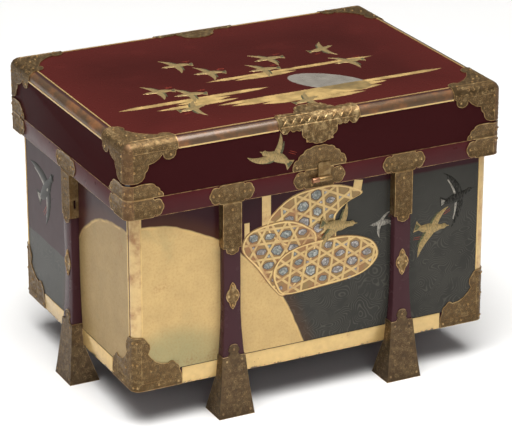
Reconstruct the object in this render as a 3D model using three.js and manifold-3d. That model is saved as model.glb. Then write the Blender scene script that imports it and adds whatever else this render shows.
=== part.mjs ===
// Six-legged lacquer chest with a lift-off lid. Millimetres, +Z up, standing on its feet at z = 0,
// long side along X, front facing -Y.
import * as THREE from 'three';
import { mergeVertices } from 'three/addons/utils/BufferGeometryUtils.js';
import Module from 'manifold-3d';

const wasm = await Module();
wasm.setup();

// Case: the body, the band round its top and the lid
const caseLength = 600; // outside of the lid and the band, left to right
const caseDepth = 430; // outside of the lid and the band, front to back
const baseHeight = 58; // floor to the underside of the body
const bodyHeight = 299; // underside of the body to the seam under the lid
const bandHeight = 29;
const bandProjection = 12; // how far the band stands out from the body
const lidHeight = 81;
const cornerRadius = 12; // rounded beads up the corners and round the top of the lid
const bodyWall = 11.2;
const bottomThickness = 11;
const lidTopThickness = 10;
const collarHeight = 10; // body wall that stands up inside the lid
const lidPlay = 0.8; // between the collar and the walls of the lid
const seatGap = 0.3; // between pieces that touch

// Raised lips beside the beads, and the plain rail at the foot of the body
const lipWidth = 1.8;
const lipRise = 1;
const lipSetback = 13; // from the outer face or corner to the near side of a lip
const rimDrop = 13; // from the top of the lid to the lip under the rim bead
const railHeight = 25;
const railRise = 1;

// Legs
const legSpacing = 277; // between the middles of the two legs of a long side
const legWidth = 26;
const legThickness = 13;
const footWidth = 54;
const footProjection = 26; // outer face of the foot from the face of the body
const footInset = 19; // how far the foot reaches under the body
const flareHeight = 160; // where the spread of the foot begins
const cordSlotWidth = 3.6;
const cordSlotHeight = 13;
const cordSlotDrop = 46.7; // of the middle of a slot under the top of the leg

// Metal fittings
const plateThickness = 1.2;
const shoeHeight = 93;
const shoeCrestWidth = 15;
const shoeCrestHeight = 18;
const strapLength = 78;
const strapFlangeLength = 68;
const strapTipWidth = 19;
const legPlateLength = 71;
const legPlateFlat = 36;
const endLobeHeight = 25; // of the lobed ends of the plates on the band
const diamondWidth = 21;
const diamondHeight = 42;
const diamondLevel = 186;
const capReach = 80; // of a lid corner cap along the rim
const capDrop = 56; // of a lid corner cap down the corner
const lowPlateReach = 56;
const lowPlateHeight = 22;
const bandPlateReach = 57;
const bandPlateFlat = 40;
const bracketReach = 75;
const bracketHeight = 84;
const bracketArm = 24; // width of a bracket up the corner, and its height at the far end
const rimMountLength = 130;
const rimFanWidth = 56;
const rimFanDrop = 30;
const rimFanTop = 29;
const lockPlateWidth = 84;
const lidLockHeight = 34;
const haspOffset = 7; // to the right of the middle
const haspWidth = 19.5;
const haspThickness = 1.6;
const haspRoot = 8; // of the hasp up the plate on the lid
const barrelRadius = 3.7;
const boreRadius = 1.8;
const barrelDrop = 16; // of the axis of the barrels under the seam
const keeperLength = 10.5;

// Levels and sizes that follow from these
const seam = baseHeight + bodyHeight;
const bandBottom = seam - bandHeight;
const lidBottom = seam + seatGap;
const lidTop = seam + lidHeight;
const rimLip = lidTop - rimDrop;
const bodyLength = caseLength - 2 * bandProjection;
const bodyDepth = caseDepth - 2 * bandProjection;
const lidWall = bandProjection - lidPlay;
const railTop = baseHeight + railHeight;
const legTop = bandBottom - seatGap;
const cordSlotLevel = legTop - cordSlotDrop;
const legBottom = plateThickness + seatGap;
const plateFace = seatGap + plateThickness; // outer face of a fitting from the face under it
const beyond = 4 * plateFace; // how far a cutting shape runs past the face that it cuts

const lacquer = { color: 0x4a2226, roughness: 0.18, metalness: 0 };
const darkLacquer = { color: 0x3a2024, roughness: 0.18, metalness: 0 };
const legLacquer = { color: 0x4b3034, roughness: 0.22, metalness: 0 };
const brass = { color: 0x86744a, roughness: 0.45, metalness: 1 };
const copper = { color: 0xa06a44, roughness: 0.35, metalness: 1 };

const chest = new THREE.Group();

// The four sides, drawn as the front and turned: quarter turns, distance to the face of the band,
// half the width, and where its legs stand.
const longSide = { face: caseDepth / 2, half: caseLength / 2, legs: [-legSpacing / 2, legSpacing / 2] };
const shortSide = { face: caseLength / 2, half: caseDepth / 2, legs: [0] };
const sides = [
  { name: 'front', quarters: 0, ...longSide },
  { name: 'right', quarters: 1, ...shortSide },
  { name: 'back', quarters: 2, ...longSide },
  { name: 'left', quarters: 3, ...shortSide },
];

// The four corners: which way the corner lies from the middle
const corners = [
  { name: 'front_left', alongX: -1, alongY: -1 },
  { name: 'front_right', alongX: 1, alongY: -1 },
  { name: 'back_right', alongX: 1, alongY: 1 },
  { name: 'back_left', alongX: -1, alongY: 1 },
];

// Closed solids
function solidOf(geometry) {
  const bare = geometry.clone();
  bare.deleteAttribute('normal');
  bare.deleteAttribute('uv');
  const merged = mergeVertices(bare, 1e-4);
  const vertProperties = new Float32Array(merged.attributes.position.array);
  const triVerts = new Uint32Array(merged.index.array);
  if (isInsideOut(vertProperties, triVerts)) triVerts.reverse();
  return new wasm.Manifold(new wasm.Mesh({ numProp: 3, vertProperties, triVerts }));
}

// A mirrored shape has its triangles facing in, so its signed volume is negative.
function isInsideOut(places, triangles) {
  const [a, b, c] = [new THREE.Vector3(), new THREE.Vector3(), new THREE.Vector3()];
  let volume = 0;
  for (let i = 0; i < triangles.length; i += 3) {
    a.fromArray(places, 3 * triangles[i]);
    b.fromArray(places, 3 * triangles[i + 1]);
    c.fromArray(places, 3 * triangles[i + 2]);
    volume += a.dot(b.cross(c));
  }
  return volume < 0;
}

function union(solids) {
  return solids.reduce((whole, solid) => whole.add(solid));
}

function addPiece(name, solid, finish) {
  const mesh = solid.getMesh();
  const geometry = new THREE.BufferGeometry();
  geometry.setAttribute('position', new THREE.BufferAttribute(mesh.vertProperties, 3));
  geometry.setIndex(new THREE.BufferAttribute(mesh.triVerts, 1));
  geometry.computeVertexNormals();
  const piece = new THREE.Mesh(geometry, new THREE.MeshStandardMaterial(finish));
  piece.name = name;
  chest.add(piece);
}

function block(minX, maxX, minY, maxY, minZ, maxZ) {
  const geometry = new THREE.BoxGeometry(maxX - minX, maxY - minY, maxZ - minZ);
  return geometry.translate((minX + maxX) / 2, (minY + maxY) / 2, (minZ + maxZ) / 2);
}

function centredBlock(sizeX, sizeY, minZ, maxZ) {
  return solidOf(block(-sizeX / 2, sizeX / 2, -sizeY / 2, sizeY / 2, minZ, maxZ));
}

function turned(geometry, quarters) {
  return geometry.clone().rotateZ((quarters * Math.PI) / 2);
}

// A block with rounded corners: a lathe turning whose four quarters are pulled apart.
// Its levels are pairs of inset and height.
function roundedStack(sizeX, sizeY, radius, levels) {
  const sidesPerCorner = 5;
  const halfStep = Math.PI / (4 * sidesPerCorner);
  const rings = levels.map(([inset, z]) => new THREE.Vector2((radius - inset) / Math.cos(halfStep), z));
  const profile = [new THREE.Vector2(0, levels[0][1]), ...rings, new THREE.Vector2(0, levels.at(-1)[1])];
  const geometry = new THREE.LatheGeometry(profile, 4 * sidesPerCorner, halfStep).rotateX(Math.PI / 2);
  const places = geometry.attributes.position;
  const axisWidth = 1e-6;
  const pull = (value, by) => (Math.abs(value) < axisWidth ? 0 : value + Math.sign(value) * by);
  for (let i = 0; i < places.count; i++) {
    const x = pull(places.getX(i), sizeX / 2 - radius);
    places.setXY(i, x, pull(places.getY(i), sizeY / 2 - radius));
  }
  return solidOf(geometry);
}

// Outlines run anticlockwise. A point is [x, z] or [x, z, bulge]: the stretch that ends there bows
// outwards by bulge times its length.
function bowed(points) {
  const steps = 3;
  const out = [];
  points.forEach(([x, z, bulge = 0], i) => {
    const [fromX, fromZ] = points.at(i - 1);
    const [runX, runZ] = [x - fromX, z - fromZ];
    for (let k = 1; bulge && k < steps; k++) {
      const t = k / steps;
      const lift = 4 * bulge * t * (1 - t);
      out.push([fromX + runX * t + runZ * lift, fromZ + runZ * t - runX * lift]);
    }
    out.push([x, z]);
  });
  return out;
}

// Closes the right half of an outline, given from bottom to top, with its mirror image.
function bothSides(half) {
  const points = half.map((point) => [...point]);
  const last = half.length - 1;
  const bulgeAbove = (i) => (i < last ? half[i + 1][2] ?? 0 : 0);
  for (let i = half[last][0] === 0 ? last - 1 : last; i > 0; i--) {
    points.push([-half[i][0], half[i][1], bulgeAbove(i)]);
  }
  if (half[0][0] === 0) points[0] = [...half[0].slice(0, 2), bulgeAbove(0)];
  else points.push([-half[0][0], half[0][1], bulgeAbove(0)]);
  return points;
}

function extruded(points, thickness) {
  const shape = new THREE.Shape(bowed(points).map(([x, z]) => new THREE.Vector2(x, z)));
  return new THREE.ExtrudeGeometry(shape, { depth: thickness, bevelEnabled: false });
}

// The outline stands upright in X and Z, and the plate runs from y = near back to y = far.
function uprightPlate(points, near, far) {
  return extruded(points, far - near).rotateX(Math.PI / 2).translate(0, far, 0);
}

// The outline lies in X and Y.
function flatPlate(points, low, high) {
  return extruded(points, high - low).translate(0, 0, low);
}

// A plate on an upright face that lies at y = -face.
function facePlate(points, face, x) {
  return uprightPlate(points, -face - plateFace, -face - seatGap).translate(x, 0, 0);
}

// Body, band and lid
function bodyStack(growth, top) {
  const levels = [[0, baseHeight], [0, top]];
  return roundedStack(bodyLength + 2 * growth, bodyDepth + 2 * growth, cornerRadius + growth, levels);
}

function makeBody() {
  const trim = [];
  for (const { quarters, face, half } of sides) {
    const bodyFace = -(face - bandProjection);
    const edge = half - bandProjection;
    const [lipNear, lipFar] = [edge - lipSetback - lipWidth, edge - lipSetback];
    const lipBottom = baseHeight + bracketHeight + seatGap;
    const railEnd = edge - bracketReach - seatGap;
    const pieces = [
      block(lipNear, lipFar, bodyFace - lipRise, bodyFace + lipRise, lipBottom, legTop),
      block(-lipFar, -lipNear, bodyFace - lipRise, bodyFace + lipRise, lipBottom, legTop),
      block(-railEnd, railEnd, bodyFace - railRise, bodyFace + railRise, baseHeight, railTop),
    ];
    trim.push(...pieces.map((piece) => turned(piece, quarters)));
  }
  const inside = centredBlock(
    bodyLength - 2 * bodyWall,
    bodyDepth - 2 * bodyWall,
    baseHeight + bottomThickness,
    seam + 2 * collarHeight,
  );
  const solid = union([bodyStack(0, seam + collarHeight), ...trim.map(solidOf)]);
  addPiece('chest_body', solid.subtract(inside), darkLacquer);
}

function bandStack(growth) {
  const levels = [[0, bandBottom], [0, seam]];
  return roundedStack(caseLength + 2 * growth, caseDepth + 2 * growth, cornerRadius + growth, levels);
}

function makeBand() {
  const opening = centredBlock(
    bodyLength + 2 * seatGap,
    bodyDepth + 2 * seatGap,
    bandBottom - bandHeight,
    seam + bandHeight,
  );
  addPiece('rim_band', bandStack(0).subtract(opening), lacquer);
}

// The outside of the lid, or that outside grown for the fittings that lie on it
function lidStack(growth) {
  const radius = cornerRadius + growth;
  const flat = 0.4; // left of the rounding where the bead meets the top
  const steps = 4;
  const levels = [[0, lidBottom]];
  for (let k = 0; k <= steps; k++) {
    const angle = (k / steps) * (Math.PI / 2);
    const height = lidTop + growth - radius * (1 - Math.sin(angle));
    levels.push([(radius - flat) * (1 - Math.cos(angle)), height]);
  }
  return roundedStack(caseLength + 2 * growth, caseDepth + 2 * growth, radius, levels);
}

function makeLid() {
  const lips = [];
  for (const { quarters, face, half } of sides) {
    const capEnd = half - capReach - seatGap;
    const mountEnd = rimMountLength / 2 + seatGap;
    const runs = quarters % 2 ? [[-capEnd, capEnd]] : [[-capEnd, -mountEnd], [mountEnd, capEnd]];
    for (const [from, to] of runs) {
      const near = -face + lipSetback;
      const under = block(from, to, -face - lipRise, -face + lipRise, rimLip - lipWidth, rimLip);
      const above = block(from, to, near, near + lipWidth, lidTop - lipRise, lidTop + lipRise);
      lips.push(turned(under, quarters), turned(above, quarters));
    }
  }
  const inside = centredBlock(
    caseLength - 2 * lidWall,
    caseDepth - 2 * lidWall,
    lidBottom - lidHeight,
    lidTop - lidTopThickness,
  );
  addPiece('lid', union([lidStack(0), ...lips.map(solidOf)]).subtract(inside), lacquer);
}

// Fittings that wrap a corner
// Outlines are drawn from the corner: distance along either face, and height.
function atCorner(geometry, { alongX, alongY }, sizeX, sizeY) {
  const drawn = geometry.clone().scale(-alongX, -alongY, 1);
  return drawn.translate((alongX * sizeX) / 2, (alongY * sizeY) / 2, 0);
}

function wrapMasks(outline) {
  const onFront = uprightPlate(outline, -beyond, cornerRadius);
  const swap = new THREE.Matrix4().set(0, 1, 0, 0, 1, 0, 0, 0, 0, 0, 1, 0, 0, 0, 0, 1);
  return [onFront, onFront.clone().applyMatrix4(swap)];
}

function makeCornerFittings(name, stack, masks, sizeX, sizeY) {
  const skin = stack(plateFace).subtract(stack(seatGap));
  for (const corner of corners) {
    const zone = union(masks.map((mask) => solidOf(atCorner(mask, corner, sizeX, sizeY))));
    addPiece(`${name}_${corner.name}`, skin.intersect(zone), brass);
  }
}

function makeLidCaps() {
  const low = lidTop - capDrop;
  const lobe = capReach - 14; // from the corner to the lobe near either end
  const side = [
    [-beyond, low],
    [17, low],
    [29, low + 14, 0.2],
    [34, low + 25, 0.15],
    [56, rimLip - 5, 0.12],
    [lobe, rimLip - 15, 0.25],
    [capReach - 4, rimLip - 3, 0.25],
    [capReach, rimLip, 0],
    [capReach, lidTop + beyond],
    [-beyond, lidTop + beyond],
  ];
  const top = [
    [-beyond, -beyond],
    [capReach, -beyond],
    [capReach, cornerRadius + 4],
    [lobe, 28, 0.2],
    [lobe - 6, 24, 0.1],
    [24, lobe - 6, -0.1],
    [28, lobe, 0.1],
    [cornerRadius + 4, capReach, 0.2],
    [-beyond, capReach],
  ];
  const masks = [...wrapMasks(side), flatPlate(top, lidTop - plateFace, lidTop + beyond)];
  makeCornerFittings('lid_cap', lidStack, masks, caseLength, caseDepth);
}

function makeLidLowPlates() {
  const high = lidBottom + lowPlateHeight;
  const outline = [
    [-beyond, lidBottom],
    [lowPlateReach, lidBottom],
    [lowPlateReach - 5, lidBottom + 9, 0.2],
    [lowPlateReach - 11, lidBottom + 16, 0.2],
    [lowPlateReach - 20, high, 0.15],
    [cornerRadius, high - 1, 0.04],
    [-beyond, high - 1],
  ];
  makeCornerFittings('lid_low_plate', lidStack, wrapMasks(outline), caseLength, caseDepth);
}

// The lobed end of a plate on the band, from its lower to its upper notch
function lobedEnd(flat, end, middle) {
  const [notch, lobe] = [endLobeHeight / 2 - 1.5, endLobeHeight / 2];
  return [
    [flat + 2.5, middle - notch],
    [flat + 6, middle - lobe, 0.1],
    [end - 3, middle - lobe * 0.5, 0.22],
    [end - 3, middle + lobe * 0.5, 0.22],
    [flat + 6, middle + lobe, 0.22],
    [flat + 2.5, middle + notch, 0.1],
  ];
}

function makeBandCornerPlates() {
  const outline = [
    [-beyond, bandBottom],
    [bandPlateFlat, bandBottom],
    ...lobedEnd(bandPlateFlat, bandPlateReach, (bandBottom + seam) / 2),
    [bandPlateFlat, seam],
    [-beyond, seam],
  ];
  makeCornerFittings('band_corner_plate', bandStack, wrapMasks(outline), caseLength, caseDepth);
}

function makeBodyBrackets() {
  const top = baseHeight + bracketHeight;
  const outline = [
    [-beyond, baseHeight],
    [bracketReach - 1, baseHeight],
    [bracketReach, baseHeight + 9],
    [bracketReach - 4, baseHeight + bracketArm, 0.05],
    [bracketReach - 10, baseHeight + bracketArm + 11, 0.2],
    [bracketReach - 22, baseHeight + bracketArm + 13, 0.35],
    [bracketArm + 3, baseHeight + bracketArm + 26, -0.12],
    [bracketArm - 2, baseHeight + bracketArm + 33],
    [bracketArm - 4, top - 6, 0.22],
    [cornerRadius + 2, top, 0.12],
    [-beyond, top],
  ];
  const stack = (growth) => bodyStack(growth, bandBottom);
  makeCornerFittings('body_bracket', stack, wrapMasks(outline), bodyLength, bodyDepth);
}

// Fittings on the front and the back of the lid
function makeRimMounts() {
  const skin = lidStack(plateFace).subtract(lidStack(seatGap));
  const halfFan = rimFanWidth / 2;
  const end = rimMountLength / 2;
  const front = bothSides([
    [0, rimLip - rimFanDrop],
    [halfFan * 0.42, rimLip - rimFanDrop * 0.9, 0.12],
    [halfFan * 0.78, rimLip - rimFanDrop * 0.68, 0.22],
    [halfFan, rimLip - rimFanDrop * 0.28, 0.22],
    [halfFan, rimLip - 4, 0.2],
    [halfFan + 9, rimLip - 5, 0.3],
    [halfFan + 19, rimLip - 3, 0.3],
    [end - 2, rimLip - 2, 0.4],
    [end, rimLip],
    [end, lidTop + beyond],
  ]);
  const inner = cornerRadius + lipWidth;
  const top = bothSides([
    [end, -beyond],
    [end, inner],
    [end - 15, inner + 4, 0.3],
    [halfFan + 4, inner + 2, 0.1],
    [halfFan - 2, inner + rimFanTop * 0.4, 0.2],
    [halfFan * 0.65, inner + rimFanTop * 0.85, 0.2],
    [0, inner + rimFanTop, 0.15],
  ]);
  const masks = [
    uprightPlate(front, -beyond, cornerRadius),
    flatPlate(top, lidTop - plateFace, lidTop + beyond),
  ];
  for (const { name, quarters, face } of [sides[0], sides[2]]) {
    const placed = masks.map((mask) => turned(mask.clone().translate(0, -face, 0), quarters));
    addPiece(`rim_mount_${name}`, skin.intersect(union(placed.map(solidOf))), brass);
  }
}

function makeLock() {
  const { face } = sides[0];
  const half = lockPlateWidth / 2;
  const onLid = bothSides([
    [half, lidBottom],
    [half, lidBottom + lidLockHeight * 0.3, 0.12],
    [half * 0.82, lidBottom + lidLockHeight * 0.5, 0.2],
    [half * 0.62, lidBottom + lidLockHeight * 0.74, 0.2],
    [half * 0.36, lidBottom + lidLockHeight * 0.93, 0.2],
    [0, lidBottom + lidLockHeight, 0.12],
  ]);
  addPiece('lock_plate_lid', solidOf(facePlate(onLid, face, 0)), brass);

  const flat = half - 20;
  const onBand = bothSides([
    [flat, bandBottom],
    ...lobedEnd(flat, half, (bandBottom + seam) / 2),
    [flat, seam],
  ]);
  addPiece('lock_plate_band', solidOf(facePlate(onBand, face, 0)), brass);

  const plateFront = -face - plateFace - seatGap;
  const axisY = plateFront - barrelRadius;
  const axisZ = seam - barrelDrop;
  const [left, right] = [haspOffset - haspWidth / 2, haspOffset + haspWidth / 2];
  const barrel = (radius, from, to) => {
    const rod = new THREE.CylinderGeometry(radius, radius, to - from, 14).rotateZ(Math.PI / 2);
    return solidOf(rod.translate((from + to) / 2, axisY, axisZ));
  };
  const tongue = block(left, right, plateFront - haspThickness, plateFront, axisZ, lidBottom + haspRoot);
  const hasp = solidOf(tongue).add(barrel(barrelRadius, left, right));
  addPiece('hasp', hasp.subtract(barrel(boreRadius, left - beyond, right + beyond)), brass);

  const [from, to] = [left - seatGap - keeperLength, left - seatGap];
  const keeper = barrel(barrelRadius, from, to).subtract(barrel(boreRadius, from - beyond, to + beyond));
  addPiece('hasp_keeper', keeper, copper);
}

// Legs and their fittings, drawn with the face of the body at y = 0
function flareAt(height) {
  return height < flareHeight ? (1 - height / flareHeight) ** 1.5 : 0;
}

const legHalfWidth = (height) => legWidth / 2 + ((footWidth - legWidth) / 2) * flareAt(height);
const legFace = (height) => legThickness + (footProjection - legThickness) * flareAt(height);
const spreadTop = baseHeight - 2 * plateFace; // where the foot begins to reach under the body
const spreadBack = (height) => footInset * (1 - height / spreadTop) - seatGap;

// A leg grown by a margin. Above the spread its back stands at the given y.
function legStack(growth, bottom, top, back) {
  const steps = 6;
  const levels = Array.from({ length: steps + 1 }, (_, k) => (flareHeight * k) / steps);
  const heights = [...levels, spreadTop, bottom, top].filter((z) => z >= bottom && z <= top);
  const rising = [...new Set(heights)].sort((a, b) => a - b);
  const low = rising.filter((z) => z <= spreadTop).reverse();
  const backPoints = [[back, top], [back, Math.max(bottom, spreadTop)]];
  const lowPoints = low.map((z) => [spreadBack(z) + growth, z]);
  const side = [...rising.map((z) => [-legFace(z) - growth, z]), ...backPoints, ...lowPoints];
  const distinct = side.filter(([y, z], i) => i === 0 || y !== side[i - 1][0] || z !== side[i - 1][1]);
  const front = bothSides(rising.map((z) => [legHalfWidth(z) + growth, z]));
  const fromFront = uprightPlate(front, -footWidth, footWidth);
  const fromSide = uprightPlate(distinct.reverse(), -footWidth, footWidth);
  return solidOf(fromFront).intersect(solidOf(turned(fromSide, 1)));
}

function legSkin(bottom, top) {
  const inner = legStack(seatGap, bottom + (bottom ? -beyond : plateThickness), top + beyond, footInset);
  return legStack(plateFace, bottom, top, -seatGap).subtract(inner);
}

function legPieces() {
  const slotMiddle = -legThickness / 2;
  const slot = solidOf(
    block(
      -footWidth,
      footWidth,
      slotMiddle - cordSlotWidth / 2,
      slotMiddle + cordSlotWidth / 2,
      cordSlotLevel - cordSlotHeight / 2,
      cordSlotLevel + cordSlotHeight / 2,
    ),
  );
  const railRoom = solidOf(
    block(-footWidth, footWidth, -railRise - seatGap, beyond, spreadTop + seatGap, railTop + seatGap),
  );
  const leg = legStack(0, legBottom, legTop, -seatGap).subtract(slot).subtract(railRoom);

  const crestBottom = shoeHeight - plateFace;
  const halfCrest = shoeCrestWidth / 2;
  const crest = bothSides([
    [halfCrest + 2, crestBottom],
    [halfCrest + 2, shoeHeight + 1],
    [halfCrest - 1, shoeHeight + shoeCrestHeight * 0.3, -0.1],
    [halfCrest, shoeHeight + shoeCrestHeight * 0.7, 0.3],
    [0, shoeHeight + shoeCrestHeight, 0.22],
  ]);
  const crestTop = shoeHeight + shoeCrestHeight + beyond;
  const wrap = solidOf(block(-footWidth, footWidth, -footWidth, footWidth, 0, shoeHeight));
  const shoeZone = wrap.add(solidOf(uprightPlate(crest, -footWidth, -legThickness)));
  const shoe = legSkin(0, crestTop).intersect(shoeZone).subtract(railRoom);

  const tip = legTop - strapLength;
  const halfStrap = legWidth / 2 + plateFace;
  const halfTip = strapTipWidth / 2;
  const strapFront = bothSides([
    [0, tip],
    [halfTip * 0.55, tip + 2, 0.15],
    [halfTip, tip + 6, 0.25],
    [halfTip, tip + 9, 0.2],
    [halfStrap + seatGap, tip + 12],
    [halfStrap + seatGap, legTop],
  ]);
  const flanges = block(-footWidth, footWidth, -footWidth, 0, legTop - strapFlangeLength, legTop);
  const strapZone = solidOf(uprightPlate(strapFront, -footWidth, -legThickness)).add(solidOf(flanges));
  const strap = legSkin(tip, legTop).intersect(strapZone).subtract(slot);

  const diamondBottom = diamondLevel - diamondHeight / 2;
  const halfDiamond = diamondWidth / 2;
  const diamond = bothSides([
    [0, diamondBottom],
    [halfDiamond * 0.5, diamondBottom + diamondHeight * 0.25, 0.1],
    [halfDiamond, diamondLevel, 0.1],
    [halfDiamond * 0.5, diamondLevel + diamondHeight * 0.25, 0.1],
    [0, diamondLevel + diamondHeight / 2, 0.1],
  ]);
  const diamondZone = solidOf(uprightPlate(diamond, -footWidth, -legThickness));
  const ornament = legSkin(diamondBottom, diamondBottom + diamondHeight).intersect(diamondZone);
  return { leg: [leg, legLacquer], shoe: [shoe, brass], strap: [strap, brass], diamond: [ornament, brass] };
}

function makeLegs() {
  const middle = (bandBottom + seam) / 2;
  const halfFlat = legPlateFlat / 2;
  const legPlate = bothSides([
    [halfFlat, bandBottom],
    ...lobedEnd(halfFlat, legPlateLength / 2, middle),
    [halfFlat, seam],
  ]);
  const pieces = legPieces();
  for (const { name, quarters, face, legs } of sides) {
    legs.forEach((x, i) => {
      const suffix = legs.length > 1 ? `${name}_${i + 1}` : name;
      const plate = turned(facePlate(legPlate, face, x), quarters);
      addPiece(`leg_plate_${suffix}`, solidOf(plate), brass);
      for (const [piece, [solid, finish]] of Object.entries(pieces)) {
        const placed = solid.translate([x, bandProjection - face, 0]).rotate([0, 0, 90 * quarters]);
        addPiece(`${piece}_${suffix}`, placed, finish);
      }
    });
  }
}

makeBody();
makeBand();
makeLid();
makeLidCaps();
makeLidLowPlates();
makeBandCornerPlates();
makeBodyBrackets();
makeRimMounts();
makeLock();
makeLegs();

export default chest;
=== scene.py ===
import math
import random

import bmesh
import bpy
from bpy.props import FloatProperty, FloatVectorProperty, PointerProperty
from bpy.types import Operator, Panel, PropertyGroup
from mathutils import Matrix, Vector, kdtree
from mathutils.bvhtree import BVHTree
from mathutils.geometry import area_tri, tessellate_polygon


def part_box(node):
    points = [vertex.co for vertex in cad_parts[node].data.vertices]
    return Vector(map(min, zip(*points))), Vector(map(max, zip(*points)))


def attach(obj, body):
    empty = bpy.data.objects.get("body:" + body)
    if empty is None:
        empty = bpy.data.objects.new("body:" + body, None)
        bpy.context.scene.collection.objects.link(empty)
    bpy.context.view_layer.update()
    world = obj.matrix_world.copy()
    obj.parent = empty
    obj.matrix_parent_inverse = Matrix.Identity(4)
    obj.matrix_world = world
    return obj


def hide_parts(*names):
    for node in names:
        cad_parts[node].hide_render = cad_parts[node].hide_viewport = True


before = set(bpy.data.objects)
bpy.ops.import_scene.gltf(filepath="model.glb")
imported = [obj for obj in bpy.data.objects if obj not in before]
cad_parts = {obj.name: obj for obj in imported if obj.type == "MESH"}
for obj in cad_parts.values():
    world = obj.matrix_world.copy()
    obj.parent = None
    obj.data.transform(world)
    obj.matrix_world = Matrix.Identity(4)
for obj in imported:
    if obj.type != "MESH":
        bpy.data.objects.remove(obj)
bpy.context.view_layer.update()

bl_info = {
    "name": "Lacquer chest",
    "version": (1, 0, 0),
    "blender": (4, 5, 0),
    "location": "View3D > Sidebar > Chest",
    "description": "Builds the lacquer, the pictures and the engraved fittings of a six-legged chest",
    "category": "Add Mesh",
}

MM = 0.001

# Measures of the chest in millimetres. Its levels, length and depth are read from the frame.
BAND_LOW, BAND_HIGH = (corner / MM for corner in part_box("rim_band"))
LID_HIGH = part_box("lid")[1] / MM
BODY_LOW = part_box("chest_body")[0] / MM
BAND_PROJECTION = 12.0
BEAD = 12.0
LIP_SETBACK = 13.0
LIP_WIDTH = 1.8
LIP_RISE = 1.0
RAIL_HEIGHT = 25.0
SEAM = BAND_HIGH.z
BAND_BOTTOM = BAND_LOW.z
BASE = BODY_LOW.z
RAIL_TOP = BASE + RAIL_HEIGHT
LID_TOP = LID_HIGH.z - LIP_RISE
RIM_LIP = LID_TOP - LIP_SETBACK
HALF_LENGTH, HALF_DEPTH = BAND_HIGH.x, BAND_HIGH.y
BODY_HALF_LENGTH = HALF_LENGTH - BAND_PROJECTION
BODY_HALF_DEPTH = HALF_DEPTH - BAND_PROJECTION

# The four sides: quarter turns from the front, and half of the body's length on that side
SIDES = {
    "front": (0, BODY_HALF_LENGTH),
    "right": (1, BODY_HALF_DEPTH),
    "back": (2, BODY_HALF_LENGTH),
    "left": (3, BODY_HALF_DEPTH),
}
# How the front left corner is mirrored, in x and y, to each corner
CORNERS = {"front_left": (1, 1), "front_right": (-1, 1), "back_right": (-1, -1), "back_left": (1, -1)}
# Each leg by its place, and the side that it stands on
LEG_PLACES = ("front_1", "front_2", "right", "back_1", "back_2", "left")
LEG_SIDES = {place: place.split("_")[0] for place in LEG_PLACES}
LEG_SPACING = 138.5


def paint(code):
    """A colour given as six hexadecimal digits, in linear light."""
    parts = [int(code[i : i + 2], 16) / 255 for i in (0, 2, 4)]
    return tuple(p / 12.92 if p <= 0.04045 else ((p + 0.055) / 1.055) ** 2.4 for p in parts)


def colour_setting(name, description, code):
    """A colour that a user may change, given as six hexadecimal digits."""
    return FloatVectorProperty(
        name=name, description=description, default=paint(code), subtype="COLOR", min=0, max=1
    )


def length_setting(name, description, default):
    """A length that a user may change, in metres."""
    return FloatProperty(name=name, description=description, default=default, min=0, unit="LENGTH")


def angle_setting(name, description, degrees):
    """An angle that a user may change, given in degrees."""
    return FloatProperty(name=name, description=description, default=math.radians(degrees), unit="ROTATION")


class LacquerSettings(PropertyGroup):
    lid: colour_setting("Lid", "Red-brown lacquer on top of the lid", "3A1310")
    sides: colour_setting("Sides", "Lacquer on the sides of the lid", "341516")
    band: colour_setting("Band", "Lacquer of the band", "421719")
    ground: colour_setting("Ground", "Lacquer behind the pictures", "301419")
    leg: colour_setting("Leg", "Purple-brown lacquer of the legs", "3E2428")
    inside: colour_setting("Inside", "Lacquer inside the chest and the lid", "1E1214")
    gold: colour_setting("Gold", "Gold ground of the hills and the rails", "C4A671")
    bright_gold: colour_setting("Bright gold", "Gold of the strips, lips and mist", "CCAC70")
    old_gold: colour_setting("Old gold", "Rubbed gold that shows the brown below", "8A5A35")
    cloud: colour_setting("Cloud", "Greenish cloud on the gold hill", "8D8B66")
    water: colour_setting("Water", "Dark ground of the water", "34332F")
    wave: colour_setting("Wave", "Fine lines of the waves", "605C54")
    moon: colour_setting("Moon", "Dull silver of the moon", "938E84")


class FittingSettings(PropertyGroup):
    brass: colour_setting("Brass", "Raised parts of the engraved brass", "98784C")
    patina: colour_setting("Patina", "Grooves and old patina of the brass", "33271A")
    polish: colour_setting("Polish", "Rubbed edges of the brass", "B89E70")
    copper: colour_setting("Copper", "Coppery beads and the keeper barrel", "A9795A")
    rim: colour_setting("Rim", "Brown gold of the round rim of the lid", "57422F")
    shoe: colour_setting("Shoe", "Raised parts of the engraved shoes", "8A7051")
    curl: length_setting("Curl", "Distance between two curls of the scrollwork", 0.0085)


class PictureSettings(PropertyGroup):
    hill_width: length_setting("Hill width", "Half width of the gold hill", 0.272)
    hill_height: length_setting("Hill height", "Height of the top of the hill", 0.310)
    water_top: length_setting("Water top", "Level of the top of the water", 0.315)
    wave_gap: length_setting("Wave gap", "Distance between two lines of a wave", 0.0022)
    moon_radius: length_setting("Moon radius", "Radius of the moon", 0.065)
    strip: length_setting("Strip", "Width of a strip of the basket", 0.0034)
    mesh_gap: length_setting("Mesh", "Distance between two strips of the basket", 0.0225)
    relief: length_setting("Relief", "Height of the raised birds", 0.0009)


class StageSettings(PropertyGroup):
    floor: colour_setting("Floor", "Pale floor", "F2F1EF")
    distance: length_setting("Distance", "Camera to the middle of the view", 3.9747)
    yaw: angle_setting("Yaw", "Camera to the left of the front", 26.58)
    pitch: angle_setting("Pitch", "Camera above the horizon", 22.16)
    lens: FloatProperty(name="Lens", description="Focal length in millimetres", default=184.26, min=1)


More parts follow.
